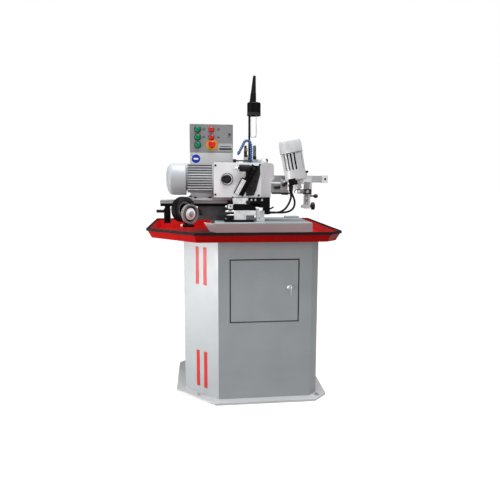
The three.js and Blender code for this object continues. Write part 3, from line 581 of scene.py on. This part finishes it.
def make_estop_plate():
    """The round plate behind the emergency stop, notched round the button above it."""
    x0, z0 = ESTOP
    outline = []
    for i in range(96):
        angle = TURN * i / 96
        reach = ESTOP_PLATE
        while math.dist((x0 + reach * math.cos(angle), z0 + reach * math.sin(angle)),
                        (STOP_X, ROWS[1])) < ESTOP_NOTCH:
            reach -= 0.25
        outline.append((x0 + reach * math.cos(angle), z0 + reach * math.sin(angle)))
    hole = ring_points(x0, z0, ESTOP_HOLE, 40, True)
    plate = Shape().prism([outline, hole], 0, 0.4, facing(PANEL_Y))
    annulus(plate, x0, z0, PANEL_Y, ESTOP_HOLE, 24.4, 2.5)
    plate.piece("estop_plate", "yellow", "control_door", "red_plastic", bevel=0.1)


def make_legends():
    """Plain printed marks beside the buttons, and a plain label."""
    marks, label = Shape(), Shape()
    upper, lower = ROWS[:2]
    for x in LEGENDS_X:
        annulus(marks, x, upper, PANEL_Y, 4.5, 7, 0.3, 24)
        marks.block((x - 7, lower - 2, 0), (x + 7, lower + 2, 0.3), facing(PANEL_Y))
        marks.block((x - 4, lower + 4, 0), (x + 4, lower + 6, 0.3), facing(PANEL_Y))
    label.block((-107, 1248, 0), (-30, 1287, 0.5), facing(PANEL_Y))
    marks.block((-103, 1252, 0.5), (-34, 1262, 0.7), facing(PANEL_Y))
    marks.block((-97, 1268, 0.5), (-40, 1272, 0.7), facing(PANEL_Y))
    label.piece("cabinet_label", "grey", "control_door", "light_enamel", bevel=0.1)
    marks.piece("legend_marks", "graphite", "control_door", "black_plastic", bevel=0)


def make_cabinet_lock():
    profile = [[0, 0], [5.4, 0], [5.4, 2.5], [4.4, 3.2], [2, 3.2], [2, 1.5], [0, 1.5]]
    barrel = Shape().lathe(profile, (-46, 71, 1336), FRONT, 28)
    barrel.piece("cabinet_lock", "graphite", "control_door", "black_metal", bevel=0.1)


def make_sticker():
    """A plain round sign with a rounded bar across it."""
    x, z = STICKER
    paper, blue, mark = Shape(), Shape(), Shape()
    paper.prism([ring_points(x, z, 26, 56)], 0, 0.25, facing(PANEL_Y))
    blue.prism([ring_points(x, z, 24.2, 56)], 0.25, 0.45, facing(PANEL_Y))
    bar = []
    for side, first in ((1, -90), (-1, 90)):
        for k in range(11):
            angle = math.radians(first + 18 * k)
            bar.append((x + side * 9 + 4.5 * math.cos(angle), z + 4.5 * math.sin(angle)))
    mark.prism([bar], 0.45, 0.6, facing(PANEL_Y))
    paper.piece("sticker_edge", "paper", "frame", "light_enamel", bevel=0)
    blue.piece("sticker_disc", "sticker", "frame", "blue_plastic", bevel=0)
    mark.piece("sticker_mark", "paper", "frame", "light_enamel", bevel=0)


def make_cabinet_screws():
    shape = Shape()
    for x in (-252, -37):
        for z in (1012, 1226):
            cap_screw(shape, (x, PANEL_Y, z), FRONT, 4, 2)
        for z in (1012, 1200, 1377):
            cap_screw(shape, (x, CABINET_BACK, z), BACK, 4, 2)
    shape.piece("cabinet_screws", "steel", "frame", "steel", bevel=0.15)


make_bezels()
make_estop_plate()
make_legends()
make_cabinet_lock()
make_sticker()
make_cabinet_screws()

# ------------------------------------------------------------------ main motor and head
MOTOR_AXIS = (-50, 1092)         # Y and Z of the main motor's axis
COVER_Y = -150                   # front face of the head's cover
DIAL = (-71, 1094)
PLATE_KNOB = (53, 1048)
ARM_PIVOT, ARM_TILT, ARM_FACE = (64, 1148), math.radians(28), -153.3
SCALE_Y, SCALE_THICK = -171.8, 3.5
GRIP_AXIS = (-175.3, 1150)       # Y and Z of the index arm's grip


def make_motor_details():
    bolts = Shape()
    for x, y, z in ((-258, -86, 1001.7), (-158, -100, 996), (-232, -100, 996)):
        hex_bolt(bolts, (x, y, z), UP, radius=7, height=6)
    bolts.piece("motor_foot_bolts", "black", "frame", "black_metal", bevel=0.3)
    grille = Shape()
    for radius in (14, 22, 30, 38):
        grille.lathe(sleeve(radius - 2, radius + 2, 0, 0.6), (-378, *MOTOR_AXIS), LEFT, 40)
    grille.piece("fan_grille", "graphite", "frame", "black_plastic", bevel=0)
    # Painted shade: a dark sleeve on the core and a dark block among the upper fins fill the gaps
    # between the fins.
    gaps = Shape().lathe(sleeve(59.5, 60.8, 0, 124.5), (-271.2, *MOTOR_AXIS), RIGHT, 64)
    gaps.block((-271.2, -96, 1120), (-146.7, -4, 1166))
    gaps.piece("fin_gap_shade", "panel", "frame", "grey_enamel", bevel=0)
    joint = Shape().lathe(sleeve(81.5, 82.3, 0, 2.5), (-283, *MOTOR_AXIS), RIGHT, 48)
    joint.piece("cowl_lip", "grey", "frame", "grey_enamel", bevel=0)


def make_cover_details():
    screws = Shape()
    for x, z in ((-130, 1163), (-131, 1016), (91, 1012), (96, 1168)):
        cap_screw(screws, (x, COVER_Y, z), FRONT, 5.2, 3)
    cap_screw(screws, (72, COVER_Y - 3, 1082), FRONT, 4.2, 2.2)
    screws.piece("cover_screws", "black", "frame", "black_metal", bevel=0.2)
    # A dark plate on the white cover beside the index arm; its dark colour is also painted shadow
    # of the arm on the cover.
    wedge = [(26, 1009), (66, 1012), (78, 1040), (99, 1122), (97, 1164), (24, 1164), (24, 1040)]
    knob_hole = ring_points(*PLATE_KNOB, 4.8, 24, True)
    pivot_hole = ring_points(*ARM_PIVOT, 7.8, 28, True)
    plate = Shape().prism([wedge, knob_hole, pivot_hole], 0, 3.15, facing(COVER_Y))
    plate.piece("wedge_plate_and_shadow", "graphite", "frame", "white_enamel", bevel=0.3)


def make_dial_details():
    x, z = DIAL
    dark = Shape().lathe(sleeve(27.4, 30.7, 0, 6.6), (x, COVER_Y, z), FRONT, 48)
    bright = Shape().lathe(sleeve(22.7, 27.3, 0, 6.6), (x, COVER_Y, z), FRONT, 48)
    dark.piece("dial_ring_dark", "black", "frame", "black_plastic", bevel=0.2)
    bright.piece("dial_ring_bright", "white", "frame", "white_enamel", bevel=0.2)
    profile = [[0, 0], [15, 0], [15, 0.9], [13.5, 1.4], [5, 1.4], [4, 0.6], [0, 0.6]]
    face = Shape().lathe(profile, (x - 7, -173, z), FRONT, 40)
    face.piece("dial_face", "plastic", "adjuster", "black_plastic", bevel=0.1)


def on_arm(depth):
    """Placement for shapes drawn along the arm: X across it, Y up it, height towards the front."""
    turn = Matrix.Rotation(ARM_TILT, 4, "Y")
    return Matrix.Translation((ARM_PIVOT[0], depth, ARM_PIVOT[1])) @ turn @ FACING


def make_arm_scale():
    scale = Shape().block((-28, -156, 0), (-7, -73, SCALE_THICK), on_arm(SCALE_Y))
    scale.piece("arm_scale", "paper", "index_arm", "light_enamel", bevel=0.5)
    backing = Shape().block((-33.5, -157.2, 0), (-1, -66, 4), on_arm(-167.6))
    backing.piece("arm_scale_backing", "black", "index_arm", "black_metal", bevel=0.6)
    ticks = Shape()
    for i in range(15):
        reach = 8 if i % 5 == 0 else 4.5
        ticks.block((-11 - reach, -150 + i * 5.2, 0), (-11, -149.3 + i * 5.2, 0.2),
                    on_arm(SCALE_Y - SCALE_THICK))
    ticks.piece("arm_scale_ticks", "graphite", "index_arm", "black_plastic", bevel=0)


def make_arm_grip():
    knurl = Shape().lathe([[16.6, 0], [17.6, 1.2], [17.6, 46], [16.6, 47.2]], (-6, *GRIP_AXIS),
                          RIGHT, 96, ribs=24, depth=0.9)
    knurl.lathe([[0, 0], [9.5, 0], [9.5, 2], [7, 3], [0, 3]],
                (ARM_PIVOT[0], ARM_FACE - 6, ARM_PIVOT[1]), FRONT, 28)
    knurl.piece("arm_grip_sleeve", "plastic", "index_arm", "black_plastic", bevel=0)
    profile = [[0, 0], [4.6, 0], [6.2, 2.5], [6.2, 10], [7.6, 11], [7.6, 13], [0, 13]]
    tip = Shape().lathe(profile, (-31, *GRIP_AXIS), RIGHT, 32)
    tip.piece("arm_grip_tip", "alloy", "index_arm", "chrome", bevel=0.2)
    bolts = Shape()
    for reach in (-20, -40, -120):
        bolts.lathe(plug(4.5, 3), on_arm(ARM_FACE - 6) @ Vector((2, reach, 0)), FRONT, 24)
    bolts.piece("arm_bolts", "graphite", "index_arm", "steel", bevel=0.3)


make_motor_details()
make_cover_details()
make_dial_details()
make_arm_scale()
make_arm_grip()

# ------------------------------------------------------------------ grinding wheel unit
GUARD_AT = (-291, -150)
WHEEL_WAY = (math.sin(math.radians(40)), -math.cos(math.radians(40)), 0)
WHEEL_REACH, WHEEL_Z, GUARD_Z = 48, 920, 940


def on_axis(forward, height):
    """A point in front of the guard's centre, along the way the wheel faces."""
    return (GUARD_AT[0] + WHEEL_WAY[0] * forward, GUARD_AT[1] + WHEEL_WAY[1] * forward, height)


def wheel_ring(name, material, slot, profile, hexes=()):
    shape = Shape().lathe(profile, on_axis(WHEEL_REACH, WHEEL_Z), WHEEL_WAY, 56, hexes=hexes)
    shape.piece(name, material, "wheel", slot, bevel=0.2)


def guard_ring(name, material, slot, profile):
    shape = Shape().lathe(profile, on_axis(0, GUARD_Z), WHEEL_WAY, 56)
    shape.piece(name, material, "frame", slot, bevel=0.2)


def make_wheel_details():
    wheel_ring("flange_ring", "black", "black_metal", sleeve(30.2, 33.4, 6.8, 7.6))
    # A black ring inside the wheel's rim: painted shade in the cup's recess.
    wheel_ring("wheel_recess_shade", "black", "black_metal",
               [[33.5, 0.2], [38.4, 0.2], [38.6, 1.2], [33.5, 1.2], [33.5, 0.2]])
    wheel_ring("hub_ring", "stone", "alloy",
               [[10.5, 12.6], [14.5, 12.6], [14.5, 14.6], [13.5, 15.4], [10.5, 15.4], [10.5, 12.6]])
    wheel_ring("hub_nut", "steel", "steel",
               [[0, 15], [10.5, 15], [10.5, 21], [9, 22], [4, 22], [4, 20.5], [0, 20.5]],
               hexes=(1, 2))
    guard_ring("guard_ring", "stone", "alloy",
               [[31.6, 0], [41.5, 0], [41.5, 7.6], [40, 8.6], [33, 8.6], [31.6, 7.6], [31.6, 0]])
    guard_ring("guard_lip", "graphite", "black_metal", sleeve(45.2, 58.8, 17.8, 18.5))
    tip = Shape().lathe([[0, 0], [5.5, 0], [7.5, 1.6], [7.5, 11], [0, 11]],
                        (-306, -212, 863), RIGHT, 28)
    tip.piece("peg_tip", "cream", "frame", "light_enamel", bevel=0.3)
    pads = Shape()
    for x in (-330, -296):
        hex_bolt(pads, (x, -122, 955), FRONT, radius=5, height=4)
    for z in (905, 885):
        cap_screw(pads, (-377, -112, z), FRONT, 6, 5)
    pads.piece("wheel_unit_bolts", "black", "frame", "black_metal", bevel=0.2)


make_wheel_details()

# ------------------------------------------------------------------ lamp, hose and valve
LAMP_AT = (76, -40)
BOOT_LOW = 1492
BAIL = [(88, -40, 1489), (88, -40, 1400), (88, -40, 1322), (84, -40, 1315), (61, -40, 1314)]
HOSE_Y = -80
HOSE_ROUTE = [(57, 1200), (58, 1222), (58, 1250), (56, 1274), (49, 1289),
              (36, 1293), (24, 1287), (14, 1268), (3, 1247), (-7, 1229)]
BEAD = 11.5              # pitch of the hose's ball joints
HEAD_TOP = 1178.3        # just above the head


def make_lamp_details():
    x, y = LAMP_AT
    rim = Shape().lathe([[35.4, 0], [36.1, 0], [36.1, 12], [35.4, 12.6], [35.4, 0]],
                        (x, y, 1425), UP, 56)
    rim.piece("lamp_rim", "graphite", "lamp", "black_metal", bevel=0.1)
    bulb = Shape().lathe([[0, 0], [9, 2], [14, 8], [15, 16], [11, 26], [8, 34], [8, 42], [0, 42]],
                         (x + 3, y, 1441), UP, 36)
    bulb.piece("lamp_bulb", "lens", "lamp", "alloy", bevel=0)
    rings = Shape()
    for i in range(5):
        rise = 4 + i * 9
        outer = 18.1 - rise * 0.0735
        inner = outer - 1.5
        rings.lathe([[inner, 0], [outer, 0.6], [outer, 4], [inner, 4.6], [inner, 0]],
                    (x - 6 + rise * 0.0588, y, BOOT_LOW + rise), UP, 40)
    rings.piece("boot_ribs", "rubber", "lamp", "rubber", bevel=0)
    wire = Shape().tube(smooth_line(BAIL, 8), 2.0, 10)
    wire.tube([(60.5, -40, 1315), (60.5, -40, 1370), (60.5, -40, 1425)], 1.6, 10)
    wire.piece("lamp_bail", "steel", "lamp", "chrome", bevel=0)


def make_hose():
    """Ball-and-socket segments: each swells to a shoulder and tucks into the next."""
    line = smooth_line([(x, HOSE_Y, z) for x, z in HOSE_ROUTE], 22)
    run, radii = 0, []
    for here, before in zip(line, [line[0]] + line[:-1]):
        run += (here - before).length
        radii.append(3.4 + 4.6 * math.sin(math.pi * (run / BEAD % 1)) ** 0.6)
    hose = Shape().tube(line, radii, 20)
    made = hose.piece("hose_segments", "blue", "coolant_hose", "blue_plastic", bevel=0)
    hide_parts("coolant_hose")
    fittings = Shape()
    fittings.lathe([[0, 0], [11, 0], [11, 9], [8.5, 12], [8.5, 20], [0, 22]],
                   (57, HOSE_Y, HEAD_TOP), UP, 32, hexes=(1, 2))
    fittings.lathe([[0, 0], [8, 0], [8, 6], [3.4, 16], [2, 16], [2, 14], [0, 14]],
                   (-5, HOSE_Y, 1233), (-0.45, 0, -1), 32)
    fittings.piece("hose_fittings", "blue", "coolant_hose", "blue_plastic", bevel=0.3)


def make_valve_details():
    black, brass, cream, grey = Shape(), Shape(), Shape(), Shape()
    black.lathe([[0, 0], [7, 0], [8.5, 3], [8.5, 52], [7, 58], [7, 78], [4, 83], [0, 83]],
                (31, -52, 1187), UP, 32)
    black.lathe([[0, 0], [10, 0], [10, 16], [9.4, 18.5], [0, 18.5]], (84, -5, 1198.6), UP, 36)
    black.block((-37, -104, HEAD_TOP), (-21, -84, 1197))
    black.tube([(-24, -92, 1189), (16, -92, 1189.5), (56, -96, 1189)], 3.4, 14)
    black.lathe([[0, 0], [11.5, 0], [11.5, 8], [9, 11], [0, 11]], (139, -50, 1191), RIGHT, 36)
    brass.lathe([[0, 0], [6.5, 0], [6.5, 6], [4.6, 7], [4.6, 13], [6, 14], [6, 17], [0, 18]],
                (36, -62, 1238), UP, 24, hexes=(1, 2))
    cream.block((18, -64, HEAD_TOP), (50, -42, 1188))
    cream.lathe([[0, 0], [8, 0], [9, 4], [6, 10], [0, 11]], (-14, -66, HEAD_TOP), UP, 28)
    gauge = Shape().lathe([[0, 0], [8.6, 0], [8.6, 52], [6, 57], [0, 57]], (84, -5, 1217), UP, 36)
    gauge.piece("gauge", "cast", "frame", "alloy", bevel=0.3)
    grey.lathe([[0, 0], [13, 2], [14, 10], [14, 44], [0, 46]], (93, -50, 1190), RIGHT, 40)
    black.piece("valve_and_caps", "plastic", "frame", "black_plastic", bevel=0.4)
    brass.piece("brass_fitting", "brass", "frame", "alloy", bevel=0.2)
    cream.piece("valve_base", "cream", "frame", "alloy", bevel=0.8)
    grey.piece("filler", "light", "frame", "alloy", bevel=0.3)


make_lamp_details()
make_hose()
make_valve_details()

# ------------------------------------------------------------------ second motor
LEAN = math.radians(11)
LEAN_WAY = (-math.sin(LEAN), 0, math.cos(LEAN))
TILT_AT = (279, -186, 1092)
SPINDLE_HOLE = 10.6
SHELL_LOW, SHELL_HIGH = 53, 135      # the finned part of the motor, along its axis
BAR_HOLE = (450, 1097)
SLIDE_FRONT = -152.2


def on_motor(forward):
    """Placement for shapes drawn across the motor's axis, as far along it as forward."""
    at = [TILT_AT[i] + LEAN_WAY[i] * forward for i in range(3)]
    return Matrix.Translation(at) @ Matrix.Rotation(-LEAN, 4, "Y")


def around_motor(shape, profile, forward):
    shape.lathe(profile, tuple(on_motor(forward).translation), LEAN_WAY, 56)


def sector(inner, outer, start, end, sides=20):
    angles = [math.radians(start + (end - start) * i / sides) for i in range(sides + 1)]
    rim = [(outer * math.cos(a), outer * math.sin(a)) for a in angles]
    return rim + [(inner * math.cos(a), inner * math.sin(a)) for a in reversed(angles)]


def make_tilt_motor():
    """Core painted black as painted shade, smooth covers round it, and fins in the windows between
    them.
    """
    core, shell = Shape(), Shape()
    # The black core is painted shade in the windows between the fins.
    around_motor(core, sleeve(SPINDLE_HOLE, 47, 0, 82), SHELL_LOW)
    core.piece("tilt_motor_core_shade", "black", "tilt_motor", "grey_enamel", bevel=0)
    around_motor(shell, [[SPINDLE_HOLE, -46], [21, -46], [21, 0], [50, 0], [54.5, 4], [54.5, 54],
                         [SPINDLE_HOLE, 54], [SPINDLE_HOLE, -46]], 0)
    for start, end in ((-206, -151), (-83, -46), (-41, 12)):
        shell.prism([sector(46, 54.8, start, end)], SHELL_LOW, SHELL_HIGH, on_motor(0))
    for middle in (-136.5, -116.5, -97.5, *(22 + i * 19.5 for i in range(7))):
        shell.prism([sector(46, 54.5, middle - 5, middle + 5, 4)], SHELL_LOW, SHELL_HIGH,
                    on_motor(0))
    shell.lathe(plug(12, 50), (279, -164, 1092), BACK, 36)
    shell.block((-26, 8.2, -5), (38, 38.2, 29), on_motor(0))
    made = shell.piece("tilt_motor_shell", "shell", "tilt_motor", "white_enamel", bevel=0.4)
    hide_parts("tilt_motor_body")


def make_tilt_clamp():
    clamp = Shape().block((-47, -60, -20), (-6, -40, -1), on_motor(0))
    clamp.block((-50, -61, -6), (-14, -55, 12), on_motor(0))
    clamp.lathe([[0, 0], [9, 0], [10.5, 2], [10.5, 9], [8, 12], [0, 12]],
                on_motor(-8) @ Vector((-24, -60, 0)), FRONT, 32)
    clamp.piece("tilt_clamp", "black", "tilt_motor", "black_metal", bevel=0.8)


def make_tilt_seam():
    """The dark line between the motor and its cap."""
    seam = Shape()
    around_motor(seam, sleeve(56, 57.6, 0, 1.8), 138)
    seam.piece("tilt_cap_seam", "graphite", "tilt_motor", "grey_enamel", bevel=0)


def make_bracket_clamp():
    """The cluster of knobs on the bar's bracket."""
    black = Shape()
    black.lathe([[0, 0], [9, 0], [10, 2], [10, 9], [7, 12], [0, 12]], (231, -137, 1076), FRONT, 32)
    black.lathe([[0, 0], [8, 0], [9, 2], [9, 7], [6, 10], [0, 10]], (222, -137, 1066), FRONT, 32)
    black.lathe([[0, 0], [6, 0], [7, 20], [4, 24], [0, 24]], (222, -141, 1090), (0.8, 0, 0.5), 24)
    chrome = Shape().lathe([[0, 0], [5, 0], [8, 3], [9, 7], [7.5, 11], [4, 13], [0, 13.5]],
                           (224, -137, 1085), FRONT, 36)
    plate = Shape().block((206, -137, 1040), (244, -132.2, 1098))
    black.piece("clamp_star", "plastic", "frame", "black_plastic", bevel=0.4)
    chrome.piece("clamp_button", "chrome", "frame", "chrome", bevel=0)
    plate.piece("clamp_plate", "light", "frame", "light_enamel", bevel=0.8)


def make_carriage_details():
    boots = Shape().block((253.6, -128.4, 1055.6), (280.4, -93.6, 1067.5))
    for gland in (LEFT_GLAND, RIGHT_GLAND):
        boots.lathe([[5.7, 0], [7.4, 0], [8.4, 3], [9, 25], [5.7, 25], [5.7, 0]],
                    (*gland, 1031), UP, 28)
    boots.piece("cable_outlet", "plastic", "carriage", "black_plastic", bevel=0.5)
    knob = Shape().lathe([[0, 0], [10.4, 0], [11.4, 2], [11.4, 9], [8, 13], [0, 14]],
                         (344, -121, 1130), UP, 48, ribs=12, depth=0.8)
    knob.piece("pillar_knob", "plastic", "carriage", "black_plastic", bevel=0)


def make_slide_details():
    profile = [[0, 0], [10, 0], [11, 2], [11, 32], [8, 36], [5.5, 47], [3, 52], [0, 52]]
    arbor = Shape().lathe(profile, (329, -149, 1033), LEFT, 36)
    arbor.piece("slide_arbor", "stone", "vertical_slide", "steel", bevel=0.3)
    collar = Shape().block((321, -158, 1019), (365.6, SLIDE_FRONT, 1046))
    collar.piece("slide_collar", "graphite", "vertical_slide", "black_metal", bevel=1.2)
    screw = Shape().lathe([[0, 0], [8, 0], [8, 2], [5, 3.5], [0, 3.5]],
                          (345, -158, 1032), FRONT, 32)
    screw.piece("slide_collar_screw", "grey", "vertical_slide", "chrome", bevel=0.1)
    gib = Shape().prism([[(324, 1050), (352, 1050), (358, 1082), (332, 1082)]], 0, 5,
                        facing(SLIDE_FRONT))
    gib.block((331, -152.8, 966), (351, -151.9, 1018))
    gib.piece("slide_gib", "stone", "vertical_slide", "dark_casting", bevel=0.5)
    screws = Shape()
    for z in (974, 998):
        cap_screw(screws, (341, -152.6, z), FRONT, 4, 2.5)
    screws.piece("slide_screws", "steel", "vertical_slide", "steel", bevel=0.15)


def make_bar_details():
    rail = Shape().block((160, -134, 1019), (258, -131.8, 1027))
    rail.piece("bracket_rail", "black", "frame", "black_metal", bevel=0.6)
    x, z = BAR_HOLE
    outline = [(432.6, 1077.6), (464.4, 1077.6), (464.4, 1116.4), (432.6, 1116.4)]
    end = Shape().prism([outline, ring_points(x, z, 6.2, 32, True)], 0, 24.8, facing(-81.6))
    end.piece("bar_end_block", "white", "frame", "white_enamel", bevel=0.8)
    bore = Shape().lathe(sleeve(5.2, 6.4, 0, 23), (x, -82.5, z), FRONT, 32)
    bore.lathe(plug(6, 4), (x, -92, z), FRONT, 32)
    bore.piece("bar_end_bore", "black", "frame", "black_metal", bevel=0)


make_tilt_motor()
make_tilt_clamp()
make_tilt_seam()
make_bracket_clamp()
make_carriage_details()
make_slide_details()
make_bar_details()


# ------------------------------------------------------------------ work holder
def make_holder_details():
    chrome = Shape()
    chrome.lathe([[0, 0], [5.1, 0], [5.1, 41], [4, 43], [0, 43]], (-38.5, -196, 933), LEFT, 32)
    chrome.lathe([[0, 0], [4.5, 0], [4.5, 36], [3.4, 38], [0, 38]], (-38.5, -196, 914), LEFT, 32)
    chrome.piece("guide_rods", "chrome", "work_slide", "chrome", bevel=0.2)
    knob = Shape().lathe([[0, 0], [9, 0], [12, 2.5], [12, 9], [9, 12], [0, 12.6]],
                         (31, -196, 977), FRONT, 48, ribs=10, depth=0.9)
    knob.piece("holder_knob", "plastic", "work_holder", "black_plastic", bevel=0)
    clamp = Shape().block((-71, -201, 969), (-44, -149, 988))
    clamp.block((-72, -196, 944), (-66.8, -158, 970))
    clamp.lathe([[0, 0], [3.4, 0], [3.4, 17], [4.4, 18], [4.4, 22], [0, 23]],
                (-50, -175, 985), (0.35, 0, 1), 24)
    clamp.lathe(plug(5, 4), (-57, -200.3, 958), FRONT, 6)
    clamp.piece("holder_clamp", "black", "work_holder", "black_metal", bevel=0.8)
    ball = Shape().lathe([[0, 0], [3.6, 1], [5.2, 3.6], [5.2, 6], [3.6, 9], [0, 10]],
                         (-72, -188, 957), LEFT, 28)
    ball.piece("holder_ball", "paper", "work_holder", "light_enamel", bevel=0)


def make_slide_stop():
    foot = Shape().block((21.6, -214.4, 891.4), (62.4, -149.6, 913.4))
    foot.piece("casting_foot", "cast", "work_slide", "dark_casting", bevel=0.8)
    stop = Shape().block((76.6, -180.4, 891), (90.4, -151.6, 944.4))
    stop.block((95.6, -176.4, 891), (118.4, -151.6, 934.4))
    stop.block((76.6, -184.4, 880.2), (118.4, -151.6, 892.4))
    stop.piece("slide_stop", "shell", "frame", "alloy", bevel=0.8)
    screws = Shape()
    for x in (50, 70, 104):
        cap_screw(screws, (x, -186, 990), FRONT, 5, 3)
    for y in (-164, -142):
        cap_screw(screws, (-78, y, 891), UP, 5, 4)
    screws.piece("holder_screws", "steel", "frame", "steel", bevel=0.2)


make_holder_details()
make_slide_stop()

# ------------------------------------------------------------------ light, floor and sky
FLOOR_TONE, FLOOR_GLOW = 0.2, 0.985
SKY_TINT, SKY_POWER = (0.95, 0.97, 1, 1), 0.25
WHITE = (1, 1, 1, 1)


def make_stage():
    bpy.ops.mesh.primitive_plane_add(size=60, location=(0, 0, -0.0005))
    floor = bpy.context.object
    floor.name = "floor"
    made = Nodes("pale_floor", 0.9)
    made.colour(made.noise(3, 2), 0.3, 0.7, (FLOOR_TONE,) * 3, (FLOOR_TONE + 0.02,) * 3)
    made.shader.inputs["Emission Color"].default_value = WHITE
    made.shader.inputs["Emission Strength"].default_value = FLOOR_GLOW
    floor.data.materials.append(made.material)
    floor.visible_diffuse = False


def make_light(name, at, target, size, power, spread=180):
    """A rectangular light; power is in watts and spread in degrees."""
    light = bpy.data.lights.new(name, "AREA")
    light.shape = "RECTANGLE"
    light.size, light.size_y = size
    light.energy = power
    light.spread = math.radians(spread)
    made = bpy.data.objects.new(name, light)
    made.location = at
    made.rotation_euler = (Vector(target) - Vector(at)).to_track_quat("-Z", "Y").to_euler()
    made.visible_camera = False
    bpy.context.scene.collection.objects.link(made)


def make_sky():
    """A dim sky that shows as plain white."""
    world = bpy.data.worlds.new("studio")
    world.use_nodes = True
    tree = world.node_tree
    plain = tree.nodes["Background"]
    plain.inputs["Color"].default_value = SKY_TINT
    plain.inputs["Strength"].default_value = SKY_POWER
    seen = tree.nodes.new("ShaderNodeBackground")
    seen.inputs["Color"].default_value = WHITE
    path = tree.nodes.new("ShaderNodeLightPath")
    mix = tree.nodes.new("ShaderNodeMixShader")
    tree.links.new(path.outputs["Is Camera Ray"], mix.inputs["Fac"])
    tree.links.new(plain.outputs["Background"], mix.inputs[1])
    tree.links.new(seen.outputs["Background"], mix.inputs[2])
    tree.links.new(mix.outputs["Shader"], tree.nodes["World Output"].inputs["Surface"])
    bpy.context.scene.world = world


make_stage()
make_sky()
make_light("key", (-3.0, -1.0, 1.5), (0, 0, 0.8), size=(1.8, 1.8), power=26)
make_light("low", (-2.3, -0.7, 0.35), (-0.25, -0.25, 0.42), size=(1.0, 0.8), power=6, spread=50)
make_light("top", (0.2, -0.4, 4.2), (0, 0, 0.9), size=(3.0, 3.0), power=205)
make_light("fill", (1.6, -3.6, 2.2), (0, 0, 0.9), size=(2.4, 2.4), power=34)
bpy.context.scene.view_settings.view_transform = "Standard"
